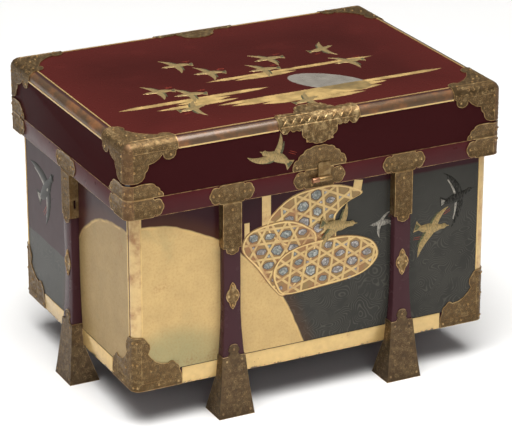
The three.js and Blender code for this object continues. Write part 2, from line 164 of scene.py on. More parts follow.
class Socket:
    """A number, colour or vector in a material. Arithmetic on a number adds Math nodes."""

    def __init__(self, finish, output):
        self.finish = finish
        self.output = output

    def also(self, name):
        """Another output of the same node."""
        return Socket(self.finish, self.output.node.outputs[name])

    def math(self, operation, *others):
        """A Math node on this number and the others."""
        inputs = dict(enumerate((self, *others)))
        return self.finish.node("Math", {"operation": operation}, inputs)

    def __add__(self, other):
        return self.math("ADD", other)

    __radd__ = __add__

    def __sub__(self, other):
        return self.math("SUBTRACT", other)

    def __rsub__(self, other):
        return self.finish.node("Math", {"operation": "SUBTRACT"}, {0: other, 1: self})

    def __mul__(self, other):
        return self.math("MULTIPLY", other)

    __rmul__ = __mul__

    def __truediv__(self, other):
        return self.math("DIVIDE", other)

    def __pow__(self, other):
        return self.math("POWER", other)

    def __neg__(self):
        return self.math("MULTIPLY", -1.0)

    def __abs__(self):
        return self.math("ABSOLUTE")

    def least(self, other):
        return self.math("MINIMUM", other)

    def most(self, other):
        return self.math("MAXIMUM", other)

    def over(self, low, high):
        """0 up to low and 1 from high on, with a smooth step between them."""
        settings = {"interpolation_type": "SMOOTHSTEP", "clamp": True}
        return self.finish.node("MapRange", settings, {"Value": self, "From Min": low, "From Max": high})

    def under(self, low, high):
        """1 up to low and 0 from high on."""
        return 1.0 - self.over(low, high)


class Finish:
    """One procedural material. Its patterns are laid out in millimetres of the chest's own frame."""

    def __init__(self, name):
        self.material = bpy.data.materials.new(name)
        self.material.use_nodes = True
        self.tree = self.material.node_tree
        self.tree.nodes.clear()
        self.spot = None

    def node(self, kind, settings=None, inputs=None, output=0):
        """A node of a type, with its settings first and then the values or links of its sockets."""
        made = self.tree.nodes.new("ShaderNode" + kind)
        for key, value in (settings or {}).items():
            setattr(made, key, value)
        for key, value in (inputs or {}).items():
            if isinstance(value, Socket):
                self.tree.links.new(value.output, made.inputs[key])
            else:
                made.inputs[key].default_value = value
        return None if output is None else Socket(self, made.outputs[output])

    def place(self):
        """Where the shaded point is, in millimetres."""
        if self.spot is None:
            metres = self.node("TexCoord", output="Object")
            self.spot = self.vector("SCALE", metres, scale=1 / MM)
        return self.spot

    def axes(self):
        """x, y and z of the shaded point, in millimetres."""
        parts = self.node("SeparateXYZ", inputs={"Vector": self.place()})
        return parts, parts.also("Y"), parts.also("Z")

    def vector(self, operation, first, second=None, scale=None):
        """Maths on vectors or colours."""
        inputs = {0: first}
        if second is not None:
            inputs[1] = second
        if scale is not None:
            inputs["Scale"] = scale
        return self.node("VectorMath", {"operation": operation}, inputs)

    def noise(self, size, detail=2.0, roughness=0.5, stretch=(1, 1, 1), twist=0.0):
        """Soft noise whose lumps are about size millimetres across, from 0 to 1."""
        at = self.node("Mapping", inputs={"Vector": self.place(), "Scale": stretch})
        values = {"Vector": at, "Scale": 1 / size, "Detail": detail}
        values |= {"Roughness": roughness, "Distortion": twist}
        return self.node("TexNoise", inputs=values, output="Fac")

    def cells(self, size, feature="F1", at=None):
        """How far the nearest cell's middle or edge is, when a cell is size millimetres across."""
        inputs = {"Vector": at or self.place(), "Scale": 1 / size}
        return self.node("TexVoronoi", {"feature": feature}, inputs, "Distance")

    def blend(self, mask, below, above):
        """The colour above where the mask is 1, and the one below where it is 0."""
        inputs = {"Factor": mask, 6: tuple4(below), 7: tuple4(above)}
        return self.node("Mix", {"data_type": "RGBA"}, inputs, output=2)

    def vary(self, mask, colour, least, most):
        """A colour whose strength drifts between two shares."""
        return self.blend(mask, Vector(colour) * least, Vector(colour) * most)

    def bump(self, height, distance):
        """A fine relief, so many millimetres deep for each unit of height."""
        return self.node("Bump", inputs={"Height": height, "Distance": distance * MM, "Strength": 1.0})

    def shade(self, **inputs):
        """Ends the material with a Principled shader. Names are its sockets with _ for a space."""
        named = {key.replace("_", " "): tuple4(value) for key, value in inputs.items()}
        shader = self.node("BsdfPrincipled", inputs=named)
        self.node("OutputMaterial", inputs={"Surface": shader}, output=None)
        return self.material


def tuple4(value):
    """A colour with its alpha. Anything that isn't a plain colour stays as it is."""
    if isinstance(value, (Socket, int, float)):
        return value
    parts = tuple(value)
    return (*parts, 1.0) if len(parts) == 3 else parts


# Meshes. Every bmesh is in millimetres in the chest's own frame until piece_from puts it in metres.
# An edge that turns by more than this is bevelled.
BEVELLED = math.radians(30)


def copy_of(node):
    """A bmesh of a CAD node, its loose triangles merged into whole faces."""
    bm = bmesh.new()
    bm.from_mesh(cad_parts[node].data)
    bmesh.ops.transform(bm, matrix=Matrix.Scale(1 / MM, 4), verts=bm.verts)
    bmesh.ops.remove_doubles(bm, verts=bm.verts, dist=0.002)
    bmesh.ops.dissolve_limit(bm, angle_limit=math.radians(0.5), verts=bm.verts, edges=bm.edges)
    return bm


def soften(bm, width):
    """Bevels the sharp edges."""
    edges = [e for e in bm.edges if e.is_manifold and e.calc_face_angle() > BEVELLED]
    bmesh.ops.bevel(
        bm, geom=edges, offset=width, segments=2, affect="EDGES", profile=0.5, material=-1, clamp_overlap=True
    )
    return bm


def cut_at(bm, spot, normal, near, **options):
    """Cuts every face along a plane. Points nearer to the plane than near count as on it."""
    everything = bm.verts[:] + bm.edges[:] + bm.faces[:]
    bmesh.ops.bisect_plane(bm, geom=everything, plane_co=spot, plane_no=normal, dist=near, **options)


def shade_smooth(bm, sharp):
    """Shades every face smooth, and keeps edges that turn by more than some degrees sharp."""
    limit = math.radians(sharp)
    for face in bm.faces:
        face.smooth = True
    for edge in bm.edges:
        edge.smooth = edge.is_manifold and edge.calc_face_angle() < limit


def piece_from(bm, name, finishes, nodes=(), sharp=35):
    """Turns a bmesh into a piece that rides with the chest and hides the nodes it replaces."""
    shade_smooth(bm, sharp)
    bmesh.ops.transform(bm, matrix=Matrix.Scale(MM, 4), verts=bm.verts)
    mesh = bpy.data.meshes.new(name)
    bm.to_mesh(mesh)
    bm.free()
    for finish in finishes:
        mesh.materials.append(finish)
    piece = bpy.data.objects.new(name, mesh)
    bpy.context.collection.objects.link(piece)
    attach(piece, "root")
    if nodes:
        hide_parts(*nodes)


def side_matrix(side, out):
    """Takes (along, up, out from the middle) of a side, as seen from outside, to the chest's frame."""
    quarters, _ = SIDES[side]
    upright = Matrix(((1, 0, 0, 0), (0, 0, -1, 0), (0, 1, 0, 0), (0, 0, 0, 1)))
    return Matrix.Rotation(quarters * math.pi / 2, 4, "Z") @ upright @ Matrix.Translation((0, 0, out))


def face_distance(side):
    """From the middle of the chest to the face of the body on a side."""
    return BODY_HALF_LENGTH if SIDES[side][0] % 2 else BODY_HALF_DEPTH


def join_rows(bm, rows, closed=True):
    """Four-sided faces between rows of points. A closed row ends where it starts."""
    made = []
    for first, second in zip(rows, rows[1:]):
        count = len(first)
        for k in range(count if closed else count - 1):
            after = (k + 1) % count
            made.append(bm.faces.new((first[k], first[after], second[after], second[k])))
    return made


def block(bm, low, high, matrix=Matrix.Identity(4)):
    """A box between two corners."""
    size = [b - a for a, b in zip(low, high)]
    middle = [(a + b) / 2 for a, b in zip(low, high)]
    place = matrix @ Matrix.Translation(middle) @ Matrix.Diagonal((*size, 1))
    bmesh.ops.create_cube(bm, size=1.0, matrix=place)


# Finishes of the lacquer
def lacquer(name, colour, streak=0.25, rough=0.22, bend=1.2):
    """Glossy lacquer with soft clouds in its colour and a faint orange peel. bend is its IOR."""
    finish = Finish(name)
    wide = finish.noise(90, detail=3)
    fine = finish.noise(4, detail=4)
    tone = (wide - 0.5) * streak + (fine - 0.5) * 0.12 + 0.5
    base = finish.vary(tone, colour, 0.72, 1.28)
    worn = (finish.noise(22, detail=4) - 0.5) * 0.12
    peel = finish.bump(finish.noise(28, detail=1), 0.25)
    return finish.shade(Base_Color=base, Roughness=rough + worn, Normal=peel, IOR=bend)


def band_lacquer(name, colours):
    """Lacquer whose upper and lower edges are rubbed down to a thin gold line."""
    finish = Finish(name)
    _, _, up = finish.axes()
    from_edge = (up - BAND_BOTTOM).least(SEAM - up)
    worn = from_edge.under(0.4, 0.9) * (finish.noise(14, detail=3).over(0.3, 0.6) * 0.6 + 0.1)
    tone = finish.noise(70, detail=4)
    base = finish.vary(tone, colours.band, 0.7, 1.3)
    base = finish.blend(worn, base, colours.bright_gold)
    peel = finish.bump(finish.noise(24, detail=1), 0.25)
    return finish.shade(
        Base_Color=base,
        Metallic=worn * 0.7,
        Roughness=0.24 + finish.noise(18, detail=4) * 0.1,
        Normal=peel,
        IOR=1.2,
    )


def gilt(name, colours, old, tint=None, painted_shade_above=None, chipped_below=None, metal=0.55):
    """Rubbed gold lacquer: bright gold, brown where it is worn, with small dark nicks. Above an optional
    level it is darkened almost to the ground lacquer, a painted shade under a lip.
    """
    finish = Finish(name)
    gold = tint or colours.gold
    worn = finish.noise(30, detail=5, roughness=0.65).over(0.62 - old * 0.4, 0.8 - old * 0.2)
    nick = finish.noise(2.6, detail=3).over(0.71, 0.74) * finish.noise(38).over(0.5, 0.62)
    base = finish.vary(finish.noise(9, detail=4), gold, 0.8, 1.15)
    base = finish.blend(worn * 0.8, base, colours.old_gold)
    base = finish.blend(nick, base, Vector(colours.ground) * 0.5)
    if chipped_below is not None:
        low = finish.axes()[2].under(chipped_below - 4, chipped_below)
        chip = low * (finish.noise(11, detail=5, roughness=0.7) + low * 0.12).over(0.62, 0.66)
        base = finish.blend(chip * 0.9, base, Vector(colours.ground) * 0.4)
    # Painted shade: a dark band at the top of the bead, in the groove under the upper lip.
    if painted_shade_above is not None:
        base = finish.blend((finish.axes()[2] - painted_shade_above).over(0, 0.5) * 0.85, base, Vector(colours.ground))
    return finish.shade(
        Base_Color=base,
        Metallic=(1.0 - nick) * metal,
        Roughness=0.3 + finish.noise(6, detail=4) * 0.16 + nick * 0.2,
        Normal=finish.bump(finish.noise(1.4, detail=3) - nick, 0.08),
        Coat_Weight=0.35,
        Coat_Roughness=0.12,
    )


def inside_lacquer(name, colours):
    """Dark lacquer strewn with fine gold flakes."""
    finish = Finish(name)
    flake = finish.cells(1.3).under(0.1, 0.2) * finish.noise(12, detail=2).over(0.45, 0.6)
    base = finish.vary(finish.noise(40, detail=3), colours.inside, 0.7, 1.4)
    base = finish.blend(flake, base, colours.gold)
    coat = {"Coat_Weight": 0.4, "Coat_Roughness": 0.1}
    return finish.shade(Base_Color=base, Metallic=flake * 0.8, Roughness=0.32, **coat)


# The case. A face that lies farther out than this belongs to a raised lip or rail.
PROUD = 0.02
BODY_PARTS = ("plain", "bead", "lip", "rail", "inside")


def body_part(face):
    """Which finish a face of the body takes, by where it lies."""
    centre, normal = face.calc_center_median(), face.normal
    inner_x, inner_y = BODY_HALF_LENGTH - BEAD / 2, BODY_HALF_DEPTH - BEAD / 2
    if abs(centre.x) < inner_x and abs(centre.y) < inner_y and centre.z > BASE + 1:
        return "inside"
    if centre.z < BASE + 0.6 and normal.z < -0.5:
        return "plain"
    reach_x, reach_y = BODY_HALF_LENGTH - abs(centre.x), BODY_HALF_DEPTH - abs(centre.y)
    proud = min(reach_x, reach_y) < -PROUD
    if proud and centre.z < RAIL_TOP + 1:
        return "rail"
    if proud:
        return "lip"
    if max(reach_x, reach_y) < BEAD + 1.4 and centre.z < SEAM:
        return "bead"
    return "plain"


class CHEST_OT_case(Operator):
    """Makes the body with its gilt beads, lips and rails, and the band round its top"""

    bl_idname = "chest.case"
    bl_label = "Case"

    def execute(self, context):
        colours = context.scene.chest_lacquer
        body = soften(copy_of("chest_body"), 0.35)
        for face in body.faces:
            face.material_index = BODY_PARTS.index(body_part(face))
        finishes = [
            lacquer("ground lacquer", colours.ground),
            gilt("gilt bead", colours, old=0.5),
            gilt("gilt lip", colours, old=0.2, tint=colours.bright_gold),
            gilt("gilt rail", colours, old=0.05, tint=colours.bright_gold, chipped_below=BASE + 5),
            inside_lacquer("inside lacquer", colours),
        ]
        piece_from(body, "body_lacquered", finishes, ["chest_body"])
        band = soften(copy_of("rim_band"), 0.6)
        finishes = [band_lacquer("band lacquer", colours)]
        piece_from(band, "band_lacquered", finishes, ["rim_band"])
        return {"FINISHED"}


# The lid
LID_PARTS = ("side", "bead", "lip", "top", "inside")


def lid_part(face):
    """Which finish a face of the lid takes, by where it lies."""
    centre = face.calc_center_median()
    reach = min(HALF_LENGTH - abs(centre.x), HALF_DEPTH - abs(centre.y))
    if reach > 2 and centre.z < LID_TOP - 2 and (centre.z < RIM_LIP or reach > BEAD + 1):
        return "inside"
    under_lip = reach < -PROUD and RIM_LIP - LIP_WIDTH - 0.6 < centre.z < RIM_LIP + 0.6
    upper_lip = centre.z > LID_TOP + 0.05
    if under_lip or upper_lip:
        return "lip"
    if centre.z > RIM_LIP - 0.1 and reach < BEAD + 0.8:
        return "bead"
    return "top" if centre.z > LID_TOP - 1 else "side"


class CHEST_OT_lid(Operator):
    """Makes the lid with its gilt bead between two lips"""

    bl_idname = "chest.lid"
    bl_label = "Lid"

    def execute(self, context):
        colours = context.scene.chest_lacquer
        fittings = context.scene.chest_fittings
        lid = soften(copy_of("lid"), 0.35)
        cut_at(lid, (0, 0, RIM_LIP), (0, 0, 1), 0.01)
        for face in lid.faces:
            face.material_index = LID_PARTS.index(lid_part(face))
        finishes = [
            lacquer("lid side lacquer", colours.sides, bend=1.03),
            gilt("rim bead", colours, old=0.5, tint=fittings.rim, painted_shade_above=LID_TOP - 0.9, metal=0.3),
            gilt("rim lip", colours, old=0.15, tint=colours.bright_gold),
            lacquer("lid top lacquer", colours.lid, bend=1.1),
            inside_lacquer("lid inside lacquer", colours),
        ]
        piece_from(lid, "lid_lacquered", finishes, ["lid"])
        return {"FINISHED"}


class CHEST_OT_legs(Operator):
    """Makes the six wooden legs"""

    bl_idname = "chest.legs"
    bl_label = "Legs"

    def execute(self, context):
        wood = lacquer("leg lacquer", context.scene.chest_lacquer.leg, streak=0.35, rough=0.26)
        for place in LEG_PLACES:
            node = f"leg_{place}"
            leg = soften(copy_of(node), 0.7)
            piece_from(leg, f"{node}_lacquered", [wood], [node], sharp=25)
        return {"FINISHED"}


# The pictures. On a side, u runs along it as seen from outside and v runs up, both in millimetres.
class Picture(Finish):
    """The lacquer picture of a side."""

    def __init__(self, side, settings, colours):
        super().__init__(f"picture {side}")
        along, across, self.v = self.axes()
        self.u = {"front": along, "right": across, "back": -along, "left": -across}[side]
        self.settings = settings
        self.colours = colours
        self.base = self.vary(self.noise(70, 3), colours.ground, 0.7, 1.35)
        self.metal = 0.0
        self.rough = 0.24 + self.noise(16, 3) * 0.12
        self.height = self.noise(30, 1) * 0.3

    def lay(self, mask, colour, metal=None, rough=None):
        """Puts a colour over what is there."""
        self.base = self.blend(mask, self.base, colour)
        if metal is not None:
            self.metal = mask * metal + (1.0 - mask) * self.metal
        if rough is not None:
            self.rough = mask * rough + (1.0 - mask) * self.rough

    def hill_edge(self, middle, half_width, height, power=1.85):
        """Millimetres inside the outline of a round hill, less than 0 outside it."""
        along = (abs(self.u - middle) / half_width) ** power
        up = (self.v.most(0.0) / height) ** power
        ripple = (self.noise(45, 2) - 0.5) * 7
        return (1.0 - (along + up) ** (1 / power)) * half_width + ripple

    def waves(self, mask):
        """Dark water drawn with fine lines that wind round each other."""
        gap = self.settings.wave_gap / MM
        wide = {"Vector": self.place(), "Scale": 1 / 42, "Detail": 1.0}
        sway = self.node("TexNoise", inputs=wide, output="Color")
        push = self.vector("SCALE", self.vector("SUBTRACT", sway, (0.5, 0.5, 0.5)), scale=58.0)
        at = self.vector("MULTIPLY", self.vector("ADD", self.place(), push), (0.62, 0.62, 1.0))
        ring = self.cells(44, "F1", at) * (44 / gap)
        line = abs(ring.math("FRACT") - 0.5) * 2.0
        drawn = line.over(0.58, 0.9) * self.noise(20, 3).over(0.3, 0.5)
        deep = self.vary(self.noise(60, 3), self.colours.water, 0.75, 1.35)
        self.lay(mask, deep, 0.15, 0.3)
        faint = self.v.under(215, 275) * 0.26 + 0.1
        self.lay(mask * drawn * faint, self.colours.wave, 0.4, 0.36)
        self.height = self.height + mask * drawn * 0.25

    def hill(self, edge, cloud_at=None, light=1.0):
        """Rubbed gold with greenish cloud and a brown shade round it. A light below 1 darkens the whole gold,
        as painted shade.
        """
        colours = self.colours
        shade = edge.over(-26, -2) * (1.0 - edge.over(-1, 1))
        self.lay(shade * 0.35, Vector(colours.old_gold) * 0.4, 0.2)
        mask = edge.over(-1.2, 1.2)
        cloud = self.noise(95, 4, 0.6, twist=0.6).over(0.52, 0.7) * 0.4
        if cloud_at is not None:
            cloud = cloud.most(cloud_at * (self.noise(30, 4) * 0.6 + 0.7))
        fine = self.noise(3.5, 4, 0.6)
        gold = self.vary(self.noise(26, 4), colours.gold, 0.8, 1.12)
        gold = self.blend(cloud * 0.72, gold, colours.cloud)
        gold = self.blend(fine.over(0.42, 0.72) * 0.2, gold, Vector(colours.old_gold) * 1.1)
        # Painted shade: the gold is darkened as a whole where light is below 1.
        gold = self.vector("SCALE", gold, scale=light)
        rubbed = self.noise(60, 5, 0.62).over(0.6, 0.74) * fine.over(0.35, 0.6)
        gold = self.blend(rubbed * 0.35, gold, colours.old_gold)
        self.lay(mask, gold, 0.25, 0.36 + fine * 0.1)
        rim = abs(edge - 2.2).under(0.6, 1.6)
        self.lay(rim * self.noise(24).over(0.4, 0.6) * 0.6, colours.bright_gold, 0.6)
        self.height = self.height + mask * (fine * 0.3 + 0.3)

    def sprinkle(self, mask, size, colour):
        """Fine flakes strewn over an area."""
        flake = self.cells(size).under(0.16, 0.28)
        self.lay(mask * flake * 0.8, colour, 0.7)

    def foot(self):
        """The dark line that parts the picture from the rail."""
        self.lay((self.v - RAIL_TOP).under(0.9, 1.6), Vector(self.colours.water) * 0.5, 0.0)

    def done(self):
        """Ends the material with everything that was laid over its ground."""
        return self.shade(
            Base_Color=self.base,
            Metallic=self.metal,
            Roughness=self.rough,
            Normal=self.bump(self.height, 0.12),
            IOR=1.2,
        )


def front_picture(settings, colours):
    """A gold hill from the left, and water that reaches to the right end from under the basket."""
    picture = Picture("front", settings, colours)
    u, v = picture.u, picture.v
    shore = (v - 265.0).most(0.0) * 0.9 - (250.0 - v).most(0.0) * 3.0 + 25.0
    top = settings.water_top / MM + (picture.noise(60, 2) - 0.5) * 8
    picture.sprinkle(v.over(300, 335) * picture.noise(30).over(0.5, 0.7), 1.6, colours.old_gold)
    picture.waves((u - shore).over(-2, 2) * (top - v).over(-2, 3))
    low = (((u + 222) / 88) ** 2 + ((v - 92) / 62) ** 2).under(0.1, 1.25)
    picture.hill(picture.hill_edge(-276.0, settings.hill_width / MM, settings.hill_height / MM), cloud_at=low)
    picture.foot()
    return picture.done()


def side_picture(side, settings, colours):
    """Water under an open sky, with a gold hill at one end."""
    picture = Picture(side, settings, colours)
    drop, lump, swing, edge, hill, light = SIDE_VIEWS[side]
    top = settings.water_top / MM - drop + (picture.noise(lump, 2) - 0.5) * swing
    if side == "back":
        picture.sprinkle(picture.v.over(290, 335) * picture.noise(30).over(0.5, 0.7), 1.6, colours.old_gold)
    picture.waves((top - picture.v).over(*edge))
    picture.hill(picture.hill_edge(*hill), light=light)
    picture.foot()
    return picture.done()


# The other three sides: how much lower their water is than the front's, length and height of the swells
# of its edge, softness of that edge, hill (middle, half width, height, power), and how much of the hill's
# gold is kept, below 1 a painted shade
SIDE_VIEWS = {
    # The left end's hill keeps 0.64 of its gold: painted shade for that end, which lies in shade.
    "left": (142.0, 50, 5, (-1.5, 1.5), (190.0, 236.0, 300.0, 2.5), 0.64),
    "right": (30.0, 60, 8, (-2, 3), (205.0, 170.0, 205.0), 1.0),
    "back": (110.0, 60, 8, (-2, 3), (-285.0, 300.0, 230.0), 1.0),
}


# Bars of mist on the lid: from x, to x, y, half height
MIST = (
    (-89, 195, -22, 4.2),
    (-48, 62, -32, 5.5),
    (-255, -9, -80, 4.8),
    (-168, -75, -91, 7.0),
    (-205, -68, -103, 4.8),
    (-118, 261, -119, 4.5),
    (-100, 160, -130, 6.0),
    (-57, 144, -142, 7.5),
    (0, 110, -156, 5.5),
)
MOON = (78.0, -97.0)


def lid_picture(settings, colours):
    """Red-brown lacquer with a moon that sinks into bands of gold mist."""
    picture = Finish("picture lid")
    x, y, _ = picture.axes()
    reach = (HALF_LENGTH - abs(x)).least(HALF_DEPTH - abs(y))
    colour = Vector(colours.lid)
    base = picture.blend(picture.noise(120, 3), colour * 0.62, colour * 1.15)
    rubbed = reach.under(16, 120) * 0.55 + picture.noise(60, 4).over(0.55, 0.75) * 0.25
    base = picture.blend(rubbed, base, colour * 1.45)
    speck = picture.noise(2.2, 3).over(0.66, 0.72) * picture.noise(40, 2).over(0.45, 0.6)
    base = picture.blend(speck * 0.4, base, colour * 2.6)
    across, up = x - MOON[0], y - MOON[1]
    long_share = across * 0.59 - up * 0.31
    short_share = across * 0.82 + up * 0.95
    radius = settings.moon_radius / MM
    from_moon = ((long_share * 1.6) ** 2 + (short_share * 1.6) ** 2) ** 0.5
    moon = from_moon.under(radius - 0.8, radius + 0.8)
    silver = picture.vary(picture.noise(14, 4), colours.moon, 0.55, 1.1)
    base = picture.blend(moon * 0.85, base, silver)
    mist = None
    wander = (picture.noise(26, 3) - 0.5) * 5
    for start, end, level, half_height in MIST:
        taper = ((x - start).least(end - x) / 34.0).most(0.0).least(1.0) ** 0.6
        bar = taper * (half_height + 3) - abs(y - level + wander * 0.5) - 3
        mist = bar if mist is None else mist.most(bar)
    flake = picture.cells(1.2)
    strewn = (mist * 0.25 - flake + 0.7).over(0.0, 0.12) * mist.over(-2.2, 0.2)
    solid = mist.over(-0.3, 0.9)
    bright = Vector(colours.bright_gold)
    gold = picture.blend(picture.noise(22, 4).over(0.35, 0.65), bright * 0.6, bright)
    cover = strewn.most(solid) * 0.92
    base = picture.blend(cover, base, gold)
    return picture.shade(
        Base_Color=base,
        Metallic=cover * 0.5 + moon * 0.35,
        Roughness=0.2 + picture.noise(24, 4) * 0.13 + cover * 0.14,
        Normal=picture.bump(picture.noise(50, 1) + cover * 0.6, 0.07),
        Specular_IOR_Level=0.04,
    )


# How thick a picture lies on the wood, and how far it keeps from the lip round it
SKIN = 0.15
SKIN_GAP = 0.2


class CHEST_OT_pictures(Operator):
    """Lays a thin picture skin on each side of the body and on the lid"""

    bl_idname = "chest.pictures"
    bl_label = "Pictures"

    def execute(self, context):
        colours, settings = context.scene.chest_lacquer, context.scene.chest_pictures
        for side, (_, half) in SIDES.items():
            edge = half - LIP_SETBACK - LIP_WIDTH - SKIN_GAP
            skin = bmesh.new()
            out = face_distance(side)
            low, high = (-edge, RAIL_TOP + SKIN_GAP, -0.1), (edge, BAND_BOTTOM - 0.1, SKIN)
            block(skin, low, high, side_matrix(side, out))
            if side == "front":
                finish = front_picture(settings, colours)
            else:
                finish = side_picture(side, settings, colours)
            piece_from(skin, f"picture_{side}", [finish])
        skin = bmesh.new()
        inset = LIP_SETBACK + LIP_WIDTH + SKIN_GAP
        x, y = HALF_LENGTH - inset, HALF_DEPTH - inset
        block(skin, (-x, -y, LID_TOP - 0.1), (x, y, LID_TOP + SKIN))
        piece_from(skin, "picture_lid", [lid_picture(settings, colours)])
        return {"FINISHED"}


# The engraved fittings: the ways that their faces look, and the places of their finishes
LEFT, RIGHT, FRONT, TOP = (Vector(d) for d in ((-1, 0, 0), (1, 0, 0), (0, -1, 0), (0, 0, 1)))
FIELD, RAISED, EDGE, PLAIN = range(4)
# No sheet is thicker than SHEET, and no fitting is farther out than OUTSIDE
SHEET = 2.6
OUTSIDE = 600.0
BORDER_WIDTH, WALL_WIDTH, FIELD_DEPTH = 0.9, 0.5, 0.3
NAIL_RADIUS = 1.9
SPIRAL_TURN = 8.2


class Fitting:
    """A brass fitting taken from its CAD node, whose outer faces are engraved."""

    def __init__(self, node, views, solid=False):
        self.bm = copy_of(node)
        self.views = views
        self.tree = BVHTree.FromBMesh(self.bm)
        self.outer = [face for face in self.bm.faces if self.is_outer(face, solid)]
        if not self.outer:
            raise RuntimeError(f"{node} has no outer face to engrave")
        self.keep_distance()

    def is_outer(self, face, solid):
        """An outer face looks along a view, and the sheet behind it is thin."""
        if max(face.normal.dot(view) for view in self.views) < 0.6:
            return False
        inner = self.inner_point(face)
        behind = self.tree.ray_cast(inner - face.normal * 0.05, -face.normal)[3]
        return solid or (behind is not None and behind < SHEET)

    def inner_point(self, face):
        """The middle of the largest triangle of a many-sided face."""
        corners = [vert.co for vert in face.verts]
        triangles = [[corners[i] for i in three] for three in tessellate_polygon([corners])]
        return sum(max(triangles, key=lambda three: area_tri(*three)), Vector()) / 3

    def keep_distance(self):
        """Points along the outline of the outer faces, to tell how near the edge a spot is."""
        chosen = set(self.outer)
        points = []
        for edge in self.bm.edges:
            inside = [face in chosen for face in edge.link_faces]
            if any(inside) and not all(inside):
                start, end = (vert.co.copy() for vert in edge.verts)
                steps = max(1, round((end - start).length / 1.2))
                points += [start.lerp(end, i / steps) for i in range(steps + 1)]
        self.outline = kdtree.KDTree(len(points))
        for index, point in enumerate(points):
            self.outline.insert(point, index)
        self.outline.balance()

    def land(self, spot, view):
        """Where a point falls on the fitting along a view: the place, its normal, how far the edge is."""
        place, normal, _, _ = self.tree.ray_cast(spot + view * (OUTSIDE - spot.dot(view)), -view)
        if place is None or normal.dot(view) < 0.45:
            return None
        margin = self.outline.find(place)[2]
        return place, normal, margin

    def inset(self, width, depth):
        """Insets the outer faces, and sinks them by a depth. Returns the new faces round them."""
        return bmesh.ops.inset_region(
            self.bm, faces=self.outer, thickness=width, depth=-depth, use_even_offset=False, use_boundary=True
        )["faces"]

    def sink_field(self):
        """Leaves a raised border round the field and gives each face its finish."""
        for face in self.bm.faces:
            face.material_index = PLAIN
        border = self.inset(BORDER_WIDTH, 0.0)
        wall = self.inset(WALL_WIDTH, FIELD_DEPTH)
        for faces, part in ((self.outer, FIELD), (border, EDGE), (wall, FIELD)):
            for face in faces:
                face.material_index = part

    def ridge(self, spots, view, half_width, height, clear=1.9, part=RAISED):
        """A tapered ridge along points that are laid on the fitting."""
        rows = []
        count = len(spots)
        for index, spot in enumerate(spots):
            found = self.land(spot, view)
            if found is None or found[2] < clear:
                if rows:
                    break
                continue
            place, normal, _ = found
            ahead = (spots[min(index + 1, count - 1)] - spots[max(index - 1, 0)]).normalized()
            across = ahead.cross(normal).normalized()
            share = index / (count - 1)
            swell = 0.35 + 0.65 * math.sin(math.pi * min(1.0, 0.25 + share * 0.8))
            reach = across * half_width * swell
            low = normal * -0.34
            crest = place + normal * (height * swell - 0.3)
            rows.append([self.bm.verts.new(p) for p in (place + reach + low, crest, place - reach + low)])
        if len(rows) < 3:
            for row in rows:
                for vert in row:
                    self.bm.verts.remove(vert)
            return
        made = join_rows(self.bm, rows, closed=False)
        made.append(self.bm.faces.new(rows[0][::-1]))
        made.append(self.bm.faces.new(rows[-1]))
        for face in made:
            face.material_index = part
            face.normal_update()

    def scrolls(self, pitch, seed, facing):
        """Curls strewn over the field that faces a view, each a spiral with a small leaf."""
        chance = random.Random(seed)
        low = Vector(min(v.co[i] for v in self.bm.verts) for i in range(3))
        high = Vector(max(v.co[i] for v in self.bm.verts) for i in range(3))
        for view in self.views:
            flat = [i for i in range(3) if abs(view[i]) < 0.5]
            first, second = (Vector([1.0 if i == axis else 0.0 for i in range(3)]) for axis in flat)
            across = int((high - low)[flat[0]] / pitch) + 2
            up = int((high - low)[flat[1]] / pitch) + 2
            for i in range(across):
                for j in range(up):
                    middle = low.copy()
                    shift = 0.5 * (j % 2)
                    middle[flat[0]] += (i + shift + chance.uniform(-0.15, 0.15)) * pitch
                    middle[flat[1]] += (j + chance.uniform(-0.15, 0.15)) * pitch * 0.9
                    turn, hand = chance.uniform(0, math.tau), chance.choice((-1, 1))
                    size = pitch * chance.uniform(0.4, 0.48)
                    landed = self.land(middle, view)
                    if landed is None or landed[2] < 2.2 or landed[1].dot(view) < facing:
                        continue
                    self.curl(middle, view, first, second, size, turn, hand)

    def curl(self, middle, view, first, second, size, turn, hand):
        """A spiral ridge and its leaf. On top of a fitting they are lower."""
        steps = 11
        spiral = []
        for k in range(steps):
            share = k / (steps - 1)
            radius = size * (0.16 + 0.84 * share ** 1.1)
            angle = turn + hand * share * SPIRAL_TURN
            spiral.append(middle + first * math.cos(angle) * radius + second * math.sin(angle) * radius)
        low = 0.55 if view.z > 0.5 else 1.0
        self.ridge(spiral, view, size * 0.15, 0.34 * low)
        leaf = []
        for k in range(4):
            radius = size * (1.0 + 0.16 * k)
            angle = turn + hand * (SPIRAL_TURN - 1.6 - 0.22 * k)
            leaf.append(middle + first * math.cos(angle) * radius + second * math.sin(angle) * radius)
        self.ridge(leaf, view, size * 0.17, 0.3 * low)

    def nail(self, spot, view):
        """A domed nail head."""
        found = self.land(Vector(spot), view)
        if found is None:
            return
        place, normal, _ = found
        turn = normal.to_track_quat("Z", "Y").to_matrix().to_4x4()
        matrix = Matrix.Translation(place) @ turn @ Matrix.Diagonal((1, 1, 0.55, 1))
        made = bmesh.ops.create_uvsphere(
            self.bm, u_segments=12, v_segments=6, radius=NAIL_RADIUS, matrix=matrix
        )
        for face in {f for v in made["verts"] for f in v.link_faces}:
            face.material_index = EDGE

    def placed(self, matrix):
        """A copy of the fitting in another place. A mirrored copy is turned right side out."""
        copy = self.bm.copy()
        bmesh.ops.transform(copy, matrix=matrix, verts=copy.verts)
        if matrix.determinant() < 0:
            bmesh.ops.reverse_faces(copy, faces=copy.faces)
        return copy


